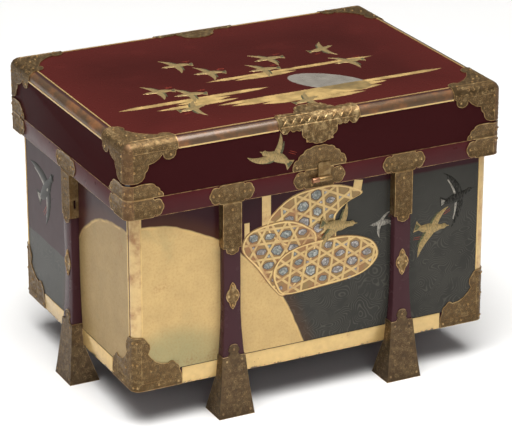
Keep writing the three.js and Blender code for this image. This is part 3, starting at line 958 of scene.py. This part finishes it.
def brass(name, colour, patina, polish, raised, shine=0.0, bead=None):
    """Old brass. The field is dark and pitted with fine dots, raised parts are rubbed bright."""
    finish = Finish(name)
    dots = finish.cells(1.15).under(0.2, 0.5)
    blotch = finish.noise(16, 4, 0.6)
    grime = finish.noise(5, 4, 0.65).over(0.5, 0.68)
    low, high = Vector(patina), Vector(colour)
    mixed = low.lerp(high, 0.31 + raised * 0.68)
    base = finish.blend(blotch, mixed * 0.84, mixed * 1.16)
    base = finish.blend(dots * (0.5 - raised * 0.4), base, low * 0.6)
    base = finish.blend(grime * (0.34 - raised * 0.12), base, low)
    rubbed = finish.noise(9, 4, 0.6).over(0.45, 0.62) * (0.12 + raised * 0.5 + shine)
    base = finish.blend(rubbed, base, polish)
    if bead is not None:
        along, across, _ = finish.axes()
        corner = (abs(along) - HALF_LENGTH + 11).over(0, 1) * (abs(across) - HALF_DEPTH + 11).over(0, 1)
        base = finish.blend(corner * 0.3, base, Vector(bead) * 0.5)
    height = finish.noise(2.2, 3) * 0.5 - dots * (1.0 - raised) * 0.9
    return finish.shade(
        Base_Color=base,
        Metallic=0.86 - grime * 0.2,
        Roughness=0.46 - rubbed * 0.18 + grime * 0.16,
        Normal=finish.bump(height, 0.14),
    )


def brass_set(name, colour, settings, shine=0.0, bead=None):
    """The finishes of a fitting: field, raised scrolls, border and the plain sheet behind."""
    parts = (("field", 0.0), ("scroll", 0.75), ("border", 1.0), ("sheet", 0.4))
    return [
        brass(f"{name} {part}", colour, settings.patina, settings.polish, raised, shine, bead)
        for part, raised in parts
    ]


def leg_matrix(place):
    """From the first leg on the front to another leg."""
    side = LEG_SIDES[place]
    quarters, _ = SIDES[side]
    along = {"1": -LEG_SPACING, "2": LEG_SPACING}.get(place[-1], 0.0)
    shift = Matrix.Translation((along + LEG_SPACING, BODY_HALF_DEPTH - face_distance(side), 0))
    return Matrix.Rotation(quarters * math.pi / 2, 4, "Z") @ shift


def both_faces(*nails):
    """Nails at (x, z) on the front face of a corner fitting, and as far from the corner on its left face."""
    shift = round(HALF_LENGTH - HALF_DEPTH)
    front = tuple((x, 0, z, FRONT) for x, z in nails)
    left = tuple((0, x + shift, z, LEFT) for x, z in nails)
    return front + left


def leg_nails(*nails):
    """Nails at (x from the middle of the leg, z) on the first leg."""
    return tuple((x - LEG_SPACING, 0, z, FRONT) for x, z in nails)


def corner_lines(setback, low, high, foot=None, top=None):
    """Raised lines on the faces of a corner fitting: beside the corner, along its foot and on its top."""
    x, y = -HALF_LENGTH + setback, -HALF_DEPTH + setback
    lines = [((x, 0, low), (x, 0, high), FRONT), ((0, y, low), (0, y, high), LEFT)]
    if foot is not None:
        level, reach = foot
        lines += [
            ((x, 0, level), (x + reach, 0, level), FRONT),
            ((0, y, level), (0, y + reach, level), LEFT),
        ]
    if top is not None:
        across, reach = top
        lines += [
            ((x, across - HALF_DEPTH, 0), (x + reach, across - HALF_DEPTH, 0), TOP),
            ((across - HALF_LENGTH, y, 0), (across - HALF_LENGTH, y + reach, 0), TOP),
        ]
    return lines


CAP_TOP_NAILS = ((-232, -203), (-262, -196), (-288, -147), (-281, -177), (-270, -185))
# Corner fittings: the views that their faces look along, nails, raised lines
CORNER_FITTINGS = {
    "lid_cap": (
        (FRONT, LEFT, TOP),
        both_faces((-288, 398), (-262, 396), (-288, 421), (-232, 417))
        + tuple((x, y, 0, TOP) for x, y in CAP_TOP_NAILS),
        corner_lines(10.5, 384, 424, (424.5, 66), (12.5, 66)),
    ),
    "lid_low_plate": (
        (FRONT, LEFT),
        both_faces((-294, 367), (-251, 362)),
        corner_lines(10.5, 358.5, 378.5),
    ),
    "band_corner_plate": (
        (FRONT, LEFT),
        both_faces((-294, 350), (-250, 342)),
        corner_lines(10.5, 329, 356),
    ),
    "body_bracket": (
        (FRONT, LEFT),
        both_faces((-283, 134), (-283, 100), (-283, 64), (-250, 64), (-219, 64), (-262, 88)),
        corner_lines(23.5, 70, 139, (70, 60)),
    ),
}
# Leg fittings: the views that their faces look along, nails, and whether it is a solid and no sheet
LEG_FITTINGS = {
    "leg_plate": ((FRONT,), leg_nails((-29, 342.5), (-20, 342.5), (29, 342.5), (20, 342.5)), False),
    "strap": ((FRONT,), leg_nails((0, 257), (0, 318)), False),
    "diamond": ((FRONT,), leg_nails((0, 201), (0, 171), (-6.5, 186), (6.5, 186)), False),
    "shoe": ((FRONT, LEFT, RIGHT), leg_nails((0, 103), (-12, 86), (12, 86), (-22, 8), (22, 8)), True),
}


def finish_fitting(fitting, nails, pitch, seed, lines=(), facing=0.7):
    """The steps every fitting goes through: lines and scrolls, then the border, then the nails."""
    spread = 1.0
    for start, end, view in lines:
        first, last = Vector(start), Vector(end)
        steps = max(4, round((last - first).length / 3))
        line = [first.lerp(last, k / steps) for k in range(steps + 1)]
        fitting.ridge(line, view, 0.75, 0.45, 0.4, EDGE)
    fitting.scrolls(pitch * spread, seed, facing)
    fitting.sink_field()
    for x, y, z, view in nails:
        fitting.nail((x, y, z), view)


class CHEST_OT_corner_fittings(Operator):
    """Engraves the caps, plates and brackets of one corner and mirrors them to the others"""

    bl_idname = "chest.corner_fittings"
    bl_label = "Corner fittings"

    def execute(self, context):
        settings = context.scene.chest_fittings
        finishes = brass_set("corner brass", settings.brass, settings, bead=settings.copper)
        for seed, (stem, (views, nails, lines)) in enumerate(CORNER_FITTINGS.items()):
            fitting = Fitting(f"{stem}_front_left", views)
            finish_fitting(fitting, nails, settings.curl / MM, seed, lines)
            for corner, (mirror_x, mirror_y) in CORNERS.items():
                bm = fitting.placed(Matrix.Diagonal((mirror_x, mirror_y, 1, 1)))
                node = f"{stem}_{corner}"
                piece_from(bm, f"{node}_engraved", finishes, [node])
            fitting.bm.free()
        return {"FINISHED"}


class CHEST_OT_mounts(Operator):
    """Engraves the fan mounts on the long rims of the lid"""

    bl_idname = "chest.mounts"
    bl_label = "Rim mounts"

    def execute(self, context):
        settings = context.scene.chest_fittings
        finishes = brass_set("mount brass", Vector(settings.brass) * 1.15, settings, shine=0.4)
        fitting = Fitting("rim_mount_front", (FRONT, TOP))
        slant = Vector((0, -1, 1)).normalized()
        shares = (-1, -0.5, 0, 0.5, 1)
        for x in range(-52, 56, 13):
            for hand in (-1, 1):
                cross = [Vector((x + hand * 5.4 * k, -209.5 + k * 3.6, 430.5 + k * 3.6)) for k in shares]
                fitting.ridge(cross, slant, 1.3, 0.6, clear=0.8, part=EDGE)
        for y, z in ((-214.0, 424.5), (-202.5, 436.0)):
            line = [Vector((x, y, z)) for x in range(-61, 62, 4)]
            fitting.ridge(line, slant, 0.9, 0.55, clear=0.5, part=EDGE)
        front, top = ((58, 421), (20, 401), (0, 399)), ((58, -199), (20, -179), (0, -176))
        nails = tuple((hand * x, 0, z, FRONT) for hand in (-1, 1) for x, z in front)
        nails += tuple((hand * x, y, 0, TOP) for hand in (-1, 1) for x, y in top)
        finish_fitting(fitting, nails, settings.curl / MM, 11, facing=0.96)
        for side, quarters in (("front", 0), ("back", 2)):
            bm = fitting.placed(Matrix.Rotation(quarters * math.pi / 2, 4, "Z"))
            piece_from(bm, f"rim_mount_{side}_engraved", finishes, [f"rim_mount_{side}"])
        fitting.bm.free()
        return {"FINISHED"}


class CHEST_OT_lock(Operator):
    """Engraves the two lock plates and smooths the hasp and its keeper"""

    bl_idname = "chest.lock"
    bl_label = "Lock"

    def execute(self, context):
        settings = context.scene.chest_fittings
        finishes = brass_set("lock brass", settings.brass, settings)
        rows = {
            "lock_plate_lid": ((-36, 363), (36, 363), (0, 386)),
            "lock_plate_band": ((-34, 351), (34, 351), (-12, 333)),
        }
        for seed, (node, nails) in enumerate(rows.items()):
            fitting = Fitting(node, (FRONT,))
            nails = [(x, 0, z, FRONT) for x, z in nails]
            finish_fitting(fitting, nails, settings.curl / MM, 20 + seed)
            piece_from(fitting.bm, f"{node}_engraved", finishes, [node])
        polished = brass("hasp brass", settings.brass, settings.patina, settings.polish, 0.5)
        hasp = soften(copy_of("hasp"), 0.3)
        piece_from(hasp, "hasp_polished", [polished], ["hasp"])
        copper = brass("keeper copper", settings.copper, settings.patina, settings.copper, 0.7, 0.1)
        keeper = soften(copy_of("hasp_keeper"), 0.3)
        piece_from(keeper, "keeper_polished", [copper], ["hasp_keeper"])
        return {"FINISHED"}


class CHEST_OT_leg_fittings(Operator):
    """Engraves the fittings of one leg and repeats them on the other five"""

    bl_idname = "chest.leg_fittings"
    bl_label = "Leg fittings"

    def execute(self, context):
        settings = context.scene.chest_fittings
        mount = brass_set("leg brass", settings.brass, settings)
        shoes = brass_set("shoe brass", settings.shoe, settings)
        bright = brass_set("diamond brass", Vector(settings.brass) * 1.3, settings, shine=0.3)
        choices = {"shoe": shoes, "diamond": bright}
        for seed, (stem, (views, nails, solid)) in enumerate(LEG_FITTINGS.items()):
            fitting = Fitting(f"{stem}_front_1", views, solid)
            size, slot = (1.15, "brass_shoe") if stem == "shoe" else (0.9, "brass_mount")
            finish_fitting(fitting, nails, settings.curl / MM * size, 30 + seed)
            finishes = choices.get(stem, mount)
            for place in LEG_PLACES:
                node = f"{stem}_{place}"
                piece_from(fitting.placed(leg_matrix(place)), f"{node}_engraved", finishes, [node])
            fitting.bm.free()
        return {"FINISHED"}


# The basket and the birds. Points are (along, up) on the front, in millimetres.
DOME = (
    (-77, 279), (-61, 299), (-35, 315), (-2, 321), (31, 321), (61, 312), (77, 301),
    (53, 291), (35, 276), (32, 262), (30, 235), (-30, 235), (-65, 255),
)
LOBE = (
    (-115, 243), (-113, 262), (-100, 273), (-71, 279), (-41, 278), (-15, 266), (3, 246),
    (-10, 205), (-47, 165), (-67, 178), (-92, 214),
)
BOWL = (
    (-47, 165), (6, 167), (63, 172), (90, 182), (104, 200), (96, 221), (74, 233),
    (45, 239), (4, 239), (-28, 235), (-54, 224), (-67, 204), (-62, 180),
)
# Lobes of the basket, the farthest first: outline, level, turn of the strips in degrees
LOBES = ((DOME, 0.2, 4), (LOBE, 0.75, 27), (BOWL, 1.3, 51))
# Posts: foot, top, width
POSTS = (((-78, 277), (-78, 327.5), 14), ((68, 305), (71, 322), 14), ((-109, 262), (-109, 287), 8))


def between(a, b, c, d, steps):
    """Points of a smooth curve from b towards c (Catmull-Rom)."""
    spots = []
    for s in range(steps):
        t = s / steps
        bend = (2 * a - 5 * b + 4 * c - d) * t * t
        spots.append(0.5 * (2 * b + (c - a) * t + bend + (3 * b - a - 3 * c + d) * t ** 3))
    return spots


def rounded(points):
    """A closed curve through the points."""
    spots = [Vector((*point, 0)) for point in points]
    count = len(spots)
    curve = []
    for i in range(count):
        curve += between(*(spots[(i + k) % count] for k in (-1, 0, 1, 2)), steps=4)
    return curve


def plate(bm, outline, low, high, material, cuts=()):
    """A flat plate with an outline, trimmed by planes (spot, normal) whose far side is dropped."""
    part = bmesh.new()
    part.faces.new([part.verts.new(p) for p in outline])
    for spot, normal in cuts:
        cut_at(part, spot, normal, 1e-5, clear_outer=True)
        if not part.faces:
            break
    if part.faces:
        bmesh.ops.recalc_face_normals(part, faces=part.faces)
        raised = bmesh.ops.extrude_face_region(part, geom=part.faces[:])["geom"]
        moved = [v for v in raised if isinstance(v, bmesh.types.BMVert)]
        for vert in part.verts:
            vert.co.z = low
        for vert in moved:
            vert.co.z = high
        bmesh.ops.recalc_face_normals(part, faces=part.faces)
        rows = {vert: bm.verts.new(vert.co) for vert in part.verts}
        for face in part.faces:
            bm.faces.new([rows[v] for v in face.verts]).material_index = material
    part.free()


def inside(point, outline):
    """True when a point is inside a closed outline."""
    hits = 0
    for a, b in zip(outline, outline[1:] + outline[:1]):
        if (a.y > point.y) != (b.y > point.y):
            hits += point.x < a.x + (point.y - a.y) * (b.x - a.x) / (b.y - a.y)
    return hits % 2 == 1


def pebble(bm, middle, reach, low, chance, material):
    """A flat many-sided piece of shell in a dark setting."""
    corners = chance.choice((6, 7, 8))
    turn = chance.uniform(0, math.tau)
    narrow = chance.uniform(0.58, 1.0)
    outline = []
    for k in range(corners):
        angle = turn + math.tau * (k + chance.uniform(-0.2, 0.2)) / corners
        radius = reach * chance.uniform(0.8, 1.05)
        outline.append(Vector((math.cos(angle), math.sin(angle) * narrow, 0)) * radius)
    for scale, top, part in ((1.0, 0.12, BASKET_SETTING), (0.84, 0.3, material)):
        plate(bm, [middle + p * scale for p in outline], low - 0.02, low + top, part)


BASKET_GROUND, BASKET_STRIP, BASKET_RIM, BASKET_SETTING, BASKET_STONE, BASKET_STONE_2 = range(6)
# Stones in the hexagons of the weave, and small ones in its triangles: step, reach from and to, share set
STONES = ((0, 0.36, 0.5, 1.0), (1 / 3, 0.12, 0.2, 0.45), (2 / 3, 0.12, 0.2, 0.45))


def weave(bm, lobe, low, turn, settings, seed):
    """One lobe of the basket: tan-gold ground, stones, strips in three directions and a rim."""
    chance = random.Random(seed)
    outline = rounded(lobe)
    middle = sum(outline, Vector()) / len(outline)
    pitch, width = settings.mesh_gap / MM, settings.strip / MM
    wide = [p + (p - middle).normalized() * 1.6 for p in outline]
    plate(bm, wide, 0.05, low, BASKET_GROUND)
    angles = [math.radians(turn + 60 * k) for k in range(3)]
    normals = [Vector((math.cos(a), math.sin(a), 0)) for a in angles]
    for family, normal in enumerate(normals):
        reach = [normal.dot(p - middle) for p in outline]
        for k in range(int(min(reach) / pitch) - 1, int(max(reach) / pitch) + 2):
            offset = (k + 0.5) * pitch + chance.uniform(-0.9, 0.9)
            lean = Matrix.Rotation(math.radians(chance.uniform(-1.6, 1.6)), 3, "Z") @ normal
            near, far = middle + lean * (offset - width / 2), middle + lean * (offset + width / 2)
            top = low + 0.34 + 0.08 * family
            plate(bm, outline, low - 0.05, top, BASKET_STRIP, ((far, lean), (near, -lean)))
    rows = int(160 / pitch)
    first, second = Vector((1, 1 / math.sqrt(3), 0)), Vector((0, 2 / math.sqrt(3), 0))
    tilt = Matrix.Rotation(angles[0], 3, "Z")
    for i in range(-rows, rows + 1):
        for j in range(-rows, rows + 1):
            for step, smallest, largest, share in STONES:
                centre = middle + tilt @ (first * (i + step) + second * (j + step)) * pitch
                stone = chance.choice((BASKET_STONE, BASKET_STONE_2))
                reach = pitch * chance.uniform(smallest, largest)
                edge = min((centre - p).length for p in outline)
                room = reach * 0.5 if step == 0 else reach + 3.0
                if inside(centre, outline) and edge > room and chance.random() < share:
                    pebble(bm, centre, min(reach, edge * 0.85), low, chance, stone)
    inner = [p + (middle - p).normalized() * 2.4 for p in outline]
    ring(bm, outline, inner, low - 0.05, low + 0.62, BASKET_RIM)


def ring(bm, outer, inner, low, high, material):
    """A raised band between two outlines with the same number of points."""
    loops = []
    for points, level in ((outer, low), (outer, high), (inner, high), (inner, low)):
        loops.append([bm.verts.new((p.x, p.y, level)) for p in points])
    for face in join_rows(bm, [*loops, loops[0]]):
        face.material_index = material


def shell(name, tones):
    """Sea-ear shell whose colour drifts between three tones."""
    finish = Finish(name)
    drift = finish.noise(13, 3, twist=1.2)
    base = finish.blend(drift.over(0.35, 0.5), tones[0], tones[1])
    base = finish.blend(finish.noise(7, 2).over(0.5, 0.7), base, tones[2])
    crack = finish.cells(5.5, "DISTANCE_TO_EDGE").under(0.02, 0.07)
    base = finish.blend(crack * 0.7, base, (0.02, 0.02, 0.02))
    return finish.shade(
        Base_Color=base,
        Metallic=0.15,
        Roughness=0.26 + drift * 0.12,
        Normal=finish.bump(drift - crack, 0.1),
        Coat_Weight=0.5,
        Coat_Roughness=0.1,
    )


def dark_ground(name, colours):
    """Black-brown lacquer strewn with gold dust, the setting of the stones."""
    finish = Finish(name)
    dust = finish.cells(1.1).under(0.14, 0.26) * finish.noise(9).over(0.35, 0.55)
    base = finish.vary(finish.noise(30), colours.old_gold, 0.1, 0.25)
    base = finish.blend(dust * 0.35, base, colours.gold)
    coat = {"Coat_Weight": 0.4, "Coat_Roughness": 0.1}
    return finish.shade(Base_Color=base, Metallic=dust * 0.6, Roughness=0.3, **coat)


class CHEST_OT_basket(Operator):
    """Weaves the stone-filled baskets on the front and sets the posts beside them"""

    bl_idname = "chest.basket"
    bl_label = "Basket"

    def execute(self, context):
        settings, colours = context.scene.chest_pictures, context.scene.chest_lacquer
        bm = bmesh.new()
        for start, end, width in POSTS:
            a, b = Vector((*start, 0)), Vector((*end, 0))
            across = Vector((b.y - a.y, a.x - b.x, 0)).normalized() * width / 2
            plate(bm, [a - across, a + across, b + across, b - across], 0.05, 0.6, BASKET_STRIP)
        for seed, (lobe, low, turn) in enumerate(LOBES):
            weave(bm, lobe, low, turn, settings, seed)
        bmesh.ops.transform(bm, matrix=side_matrix("front", face_distance("front")), verts=bm.verts)
        bmesh.ops.recalc_face_normals(bm, faces=bm.faces)
        finishes = [
            gilt("basket ground", colours, old=0.6, tint=Vector(paint("80673A"))),
            gilt("basket strip", colours, old=0.35, tint=Vector(colours.bright_gold) * 0.86),
            gilt("basket rim", colours, old=0.1, tint=colours.bright_gold),
            dark_ground("stone setting", colours),
            shell("green shell", (paint("8C8D86"), paint("676C66"), paint("A9A9A0"))),
            shell("rose shell", (paint("9E9690"), paint("736C66"), paint("A8A29C"))),
        ]
        piece_from(bm, "basket", finishes)
        return {"FINISHED"}


FEATHER, SECOND, BEAK = range(3)
# Outlines along a line: share of its length, half width
BODY_LINE = (
    (-0.5, 0.02), (-0.36, 0.09), (-0.15, 0.15), (0.08, 0.16),
    (0.24, 0.1), (0.36, 0.075), (0.45, 0.085), (0.52, 0.02),
)
WING_LINE = ((0.0, 0.13), (0.22, 0.14), (0.45, 0.115), (0.65, 0.085), (0.82, 0.05), (1.0, 0.008))
LEG_LINE = ((0, 0.005), (0.12, 0.008), (0.26, 0.005))
# Tail, legs, body, mantle and bill: outline, start (forward, aside), turn, bend, height, colour
BIRD_PARTS = (
    (((0, 0.05), (0.14, 0.11), (0.26, 0.19)), (-0.32, 0.0), 172, 0, 0.6, FEATHER),
    (((0, 0.02), (0.12, 0.07), (0.22, 0.13)), (-0.34, 0.0), 172, 0, 0.95, SECOND),
    (LEG_LINE, (-0.3, -0.27), 190, 0, 0.5, BEAK),
    (LEG_LINE, (-0.3, -0.33), 190, 0, 0.5, BEAK),
    (BODY_LINE, (-0.5, 0.0), -8, 22, 1.25, FEATHER),
    (((0, 0.03), (0.12, 0.07), (0.24, 0.02)), (-0.08, -0.03), 0, 0, 1.38, SECOND),
    (((0, 0.026), (0.05, 0.018), (0.1, 0.006)), (0.5, 0.07), 8, 0, 0.8, FEATHER),
)


def blade(bm, spots, widths, height, material):
    """A domed shape along a line, as wide as given at each spot, lying on the ground."""
    rows = []
    count = len(spots)
    for index, (spot, width) in enumerate(zip(spots, widths)):
        ahead = (spots[min(index + 1, count - 1)] - spots[max(index - 1, 0)]).normalized()
        across = Vector((-ahead.y, ahead.x)) * width
        crest = height * min(1.0, 0.35 + width * 0.12)
        row = []
        for share, level in ((1, 0.02), (0.8, crest * 0.7), (0, crest), (-0.8, crest * 0.7), (-1, 0.02)):
            row.append(bm.verts.new((spot.x + across.x * share, spot.y + across.y * share, level)))
        rows.append(row)
    made = join_rows(bm, rows)
    made.append(bm.faces.new(rows[0][::-1]))
    made.append(bm.faces.new(rows[-1]))
    for face in made:
        face.material_index = material
    bmesh.ops.recalc_face_normals(bm, faces=made)


def smooth_line(points):
    """Spots between the points of an open line."""
    ends = [points[0] * 2 - points[1], *points, points[-1] * 2 - points[-2]]
    line = []
    for four in zip(ends, ends[1:], ends[2:], ends[3:]):
        line += between(*four, steps=3)
    return [*line, points[-1]]


def swept(bm, rows, place, angle, bend, size, height, material, across=1.0):
    """A blade from (share of its length, half width) rows that sets off at an angle and bends on its way."""
    spot = Vector((place.x, place.y, 0, 0))
    points = []
    before = rows[0][0]
    for reach, width in rows:
        turned = math.radians(angle + bend * (reach - rows[0][0]))
        step = (reach - before) * size
        spot = spot + Vector((math.cos(turned) * step, math.sin(turned) * step, 0, 0))
        points.append(Vector((spot.x, spot.y, width * size * across, 0)))
        before = reach
    line = smooth_line(points)
    blade(bm, [p.xy for p in line], [max(p.z, 0.15) for p in line], height, material)


def bird(bm, place, size, heading, wings, relief):
    """A flying water bird. Wings are (angle from its heading, length, bend)."""
    place = Vector(place)

    def at(forward, aside=0.0):
        turned = Matrix.Rotation(math.radians(heading), 2)
        return place + turned @ Vector((forward, aside)) * size

    for angle, reach, bend in wings:
        turn = heading + angle
        swept(bm, WING_LINE, at(0.06), turn, bend, size * reach, relief * 0.9, FEATHER)
        inner = Vector((math.cos(math.radians(turn)), math.sin(math.radians(turn)))) * size * reach * 0.12
        start, length = at(-0.05) + inner, size * reach * 0.7
        swept(bm, WING_LINE[:5], start, turn + bend * 0.1, bend * 0.8, length, relief * 1.1, SECOND, 0.55)
    for outline, start, turn, bend, height, part in BIRD_PARTS:
        swept(bm, outline, at(*start), heading + turn, bend, size, relief * height, part)


# Birds: middle (along, up), length, heading, wings, colour scheme, height of what they lie on
FRONT_BIRDS = (
    ((38, 258), 52, -12, ((62, 0.72, 40), (-158, 0.85, 60)), "gold", 1.9),
    ((111, 248), 32, 175, ((-105, 0.7, -40), (60, 0.75, 50)), "silver", 0.0),
    ((195, 224), 50, -10, ((90, 0.8, -50), (-135, 1.0, 40)), "gold", 0.0),
    ((238, 266), 50, 12, ((85, 1.0, 45), (-92, 1.0, -40)), "dark", 0.0),
)
LEFT_BIRDS = (((-108, 262), 74, 40, ((95, 0.95, 45), (-110, 0.9, -50)), "dark", 0.0),)
RIGHT_BIRDS = (
    ((-40, 262), 46, 20, ((85, 0.85, -45), (-135, 0.9, 40)), "gold", 0.0),
    ((60, 285), 38, 10, ((95, 0.9, 40), (-100, 0.9, -40)), "dark", 0.0),
)
BACK_BIRDS = (
    ((40, 270), 46, 165, ((-85, 0.85, 45), (135, 0.9, -40)), "gold", 0.0),
    ((205, 240), 42, 20, ((90, 0.85, -45), (-130, 0.9, 40)), "dark", 0.0),
    ((-60, 292), 36, 172, ((-95, 0.85, 40), (125, 0.85, -40)), "gold", 0.0),
)
BAND_BIRDS = (((-68, 385), 48, 148, ((-102, 0.75, 50), (62, 0.95, -60)), "gold", 0.0),)
LID_BIRDS = tuple(
    (spot, 42, heading, ((near, 0.8, -bend), (far, 0.85, bend)), "gold", 0.0)
    for spot, heading, near, far, bend in (
        ((-91, 67), 172, -75, 110, -35),
        ((-61, 16), 165, -80, 120, -40),
        ((46, 35), 178, -70, 115, -35),
        ((18, -6), 172, -78, 110, -40),
        ((137, 40), 12, 80, -110, 35),
        ((149, -28), 178, -72, 118, -35),
        ((-164, -28), 172, -80, 115, -40),
        ((-127, -58), 168, -75, 112, -35),
        ((-150, -114), 8, 82, -115, 40),
        ((11, -155), 14, 78, -110, 35),
    )
)
FLOCKS = (
    ("front", FRONT_BIRDS, side_matrix("front", BODY_HALF_DEPTH + 0.1)),
    ("left", LEFT_BIRDS, side_matrix("left", BODY_HALF_LENGTH + 0.1)),
    ("right", RIGHT_BIRDS, side_matrix("right", BODY_HALF_LENGTH + 0.1)),
    ("back", BACK_BIRDS, side_matrix("back", BODY_HALF_DEPTH + 0.1)),
    ("lid_front", BAND_BIRDS, side_matrix("front", HALF_DEPTH - 0.05)),
    ("lid_top", LID_BIRDS, Matrix.Translation((0, 0, LID_TOP + 0.1))),
)


def plumage(name, colour, lines, dark):
    """A bird's gold or shell, with fine lines of the feathers drawn in it."""
    finish = Finish(name)
    streak = finish.noise(1.6, 3, stretch=(1, 1, 0.45)).over(0.42, 0.62)
    base = finish.vary(finish.noise(7, 3), colour, 0.75, 1.2)
    base = finish.blend(streak * lines, base, dark)
    return finish.shade(
        Base_Color=base,
        Metallic=0.5,
        Roughness=0.32 + streak * 0.1,
        Normal=finish.bump(finish.noise(2, 3), 0.08),
        IOR=1.2,
    )


class CHEST_OT_birds(Operator):
    """Sets the raised birds on the sides and the lid, one piece for each colour on each panel"""

    bl_idname = "chest.birds"
    bl_label = "Birds"

    def execute(self, context):
        settings, colours = context.scene.chest_pictures, context.scene.chest_lacquer
        black = Vector(colours.water) * 0.4
        gold = plumage("gold feathers", Vector(colours.gold) * 0.62, 0.55, Vector(colours.cloud) * 0.4)
        green = plumage("green gold feathers", Vector(colours.cloud) * 0.45, 0.6, black)
        silver = plumage("silver feathers", colours.moon, 0.5, black)
        ink = plumage("dark feathers", black, 0.1, colours.moon)
        red = plumage("red beak", paint("8E3A2A"), 0.2, black)
        schemes = {"gold": (gold, green, red), "silver": (silver, ink, red), "dark": (ink, silver, red)}
        for panel, birds, matrix in FLOCKS:
            for scheme, finishes in schemes.items():
                chosen = [row for row in birds if row[4] == scheme]
                if not chosen:
                    continue
                bm = bmesh.new()
                for place, size, heading, wings, _, lift in chosen:
                    part = bmesh.new()
                    bird(part, place, size, heading, wings, settings.relief / MM)
                    bmesh.ops.translate(part, vec=(0, 0, lift), verts=part.verts)
                    mesh = bpy.data.meshes.new("one bird")
                    part.to_mesh(mesh)
                    part.free()
                    bm.from_mesh(mesh)
                    bpy.data.meshes.remove(mesh)
                bmesh.ops.transform(bm, matrix=matrix, verts=bm.verts)
                piece_from(bm, f"birds_{panel}_{scheme}", finishes, sharp=60)
        return {"FINISHED"}


# The stage. Lamps: name, place, size, power
LAMPS = (
    ("overhead", (-0.3, -0.5, 2.6), (2.6, 2.2), 150),
    ("front fill", (-1.2, -4.2, 2.0), (3.0, 2.0), 22),
    ("left fill", (-3.6, 1.0, 1.8), (2.4, 1.8), 4),
)
LAMP_TARGET = (0, 0, 0.2)
FLOOR_HALF = 9.0
SKY_STRENGTH = 0.13
VIEW_MIDDLE = (0, 0, 0.18)
VIEW_SHIFT_RIGHT, VIEW_SHIFT_UP = 0.00632, 0.01615


def soft_light(name, place, size, power):
    """A soft rectangular lamp that shines on the chest."""
    light = bpy.data.lights.new(name, "AREA")
    light.shape = "RECTANGLE"
    light.size, light.size_y = size
    light.energy = power
    lamp = bpy.data.objects.new(name, light)
    lamp.location = place
    lamp.rotation_euler = (Vector(LAMP_TARGET) - Vector(place)).to_track_quat("-Z", "Y").to_euler()
    bpy.context.collection.objects.link(lamp)


class CHEST_OT_stage(Operator):
    """Sets the pale floor, the soft lights and the camera"""

    bl_idname = "chest.stage"
    bl_label = "Stage"

    def execute(self, context):
        stage = context.scene.chest_stage
        bm = bmesh.new()
        bmesh.ops.create_grid(bm, x_segments=1, y_segments=1, size=FLOOR_HALF)
        mesh = bpy.data.meshes.new("floor")
        bm.to_mesh(mesh)
        bm.free()
        paper = Finish("floor paper")
        tone = paper.noise(900, 2)
        shade = paper.blend(tone, Vector(stage.floor) * 0.97, stage.floor)
        across, along, _ = paper.axes()
        # Painted light: the floor glows more the farther it lies from the chest, so the far floor looks
        # white.
        far = ((across ** 2 + along ** 2) ** 0.5).over(700, 2400)
        glow = paper.blend(far, (0, 0, 0), (0.3, 0.3, 0.3))
        shine = {"Specular_IOR_Level": 0.2, "Emission_Color": glow, "Emission_Strength": 1.0}
        mesh.materials.append(paper.shade(Base_Color=shade, Roughness=0.85, **shine))
        floor = bpy.data.objects.new("floor", mesh)
        context.collection.objects.link(floor)

        for lamp in LAMPS:
            soft_light(*lamp)
        world = bpy.data.worlds.new("studio")
        world.use_nodes = True
        sky = world.node_tree.nodes["Background"]
        sky.inputs["Color"].default_value = (1.0, 0.99, 0.98, 1.0)
        sky.inputs["Strength"].default_value = SKY_STRENGTH
        context.scene.world = world
        context.scene.view_settings.view_transform = "Standard"

        back = Vector((
            -math.sin(stage.yaw) * math.cos(stage.pitch),
            -math.cos(stage.yaw) * math.cos(stage.pitch),
            math.sin(stage.pitch),
        ))
        right = Vector((math.cos(stage.yaw), -math.sin(stage.yaw), 0))
        up = back.cross(right)
        target = Vector(VIEW_MIDDLE) + right * VIEW_SHIFT_RIGHT + up * VIEW_SHIFT_UP
        lens = bpy.data.cameras.new("camera")
        lens.lens = stage.lens
        lens.sensor_width = 36
        lens.clip_end = 50
        camera = bpy.data.objects.new("camera", lens)
        camera.location = target + back * stage.distance
        camera.rotation_euler = back.to_track_quat("Z", "Y").to_euler()
        context.collection.objects.link(camera)
        context.scene.camera = camera
        return {"FINISHED"}


SETTINGS = {
    "chest_lacquer": LacquerSettings,
    "chest_fittings": FittingSettings,
    "chest_pictures": PictureSettings,
    "chest_stage": StageSettings,
}
OPERATORS = (
    CHEST_OT_case,
    CHEST_OT_lid,
    CHEST_OT_legs,
    CHEST_OT_pictures,
    CHEST_OT_basket,
    CHEST_OT_birds,
    CHEST_OT_corner_fittings,
    CHEST_OT_mounts,
    CHEST_OT_lock,
    CHEST_OT_leg_fittings,
    CHEST_OT_stage,
)


class CHEST_PT_panel(Panel):
    """Lists the settings and the pieces in the order in which they are made"""

    bl_idname = "CHEST_PT_panel"
    bl_label = "Lacquer chest"
    bl_space_type = "VIEW_3D"
    bl_region_type = "UI"
    bl_category = "Chest"

    def draw(self, context):
        for name, group in SETTINGS.items():
            column = self.layout.box().column()
            for prop in group.__annotations__:
                column.prop(getattr(context.scene, name), prop)
        for operator in OPERATORS:
            self.layout.operator(operator.bl_idname)


CLASSES = (*SETTINGS.values(), *OPERATORS, CHEST_PT_panel)


def register():
    for cls in CLASSES:
        bpy.utils.register_class(cls)
    for name, group in SETTINGS.items():
        setattr(bpy.types.Scene, name, PointerProperty(type=group))


def unregister():
    for name in SETTINGS:
        delattr(bpy.types.Scene, name)
    for cls in reversed(CLASSES):
        bpy.utils.unregister_class(cls)


def main():
    """Makes the whole chest."""
    register()
    for operator in OPERATORS:
        family, call = operator.bl_idname.split(".")
        getattr(getattr(bpy.ops, family), call)()


if __name__ == "__main__":
    main()
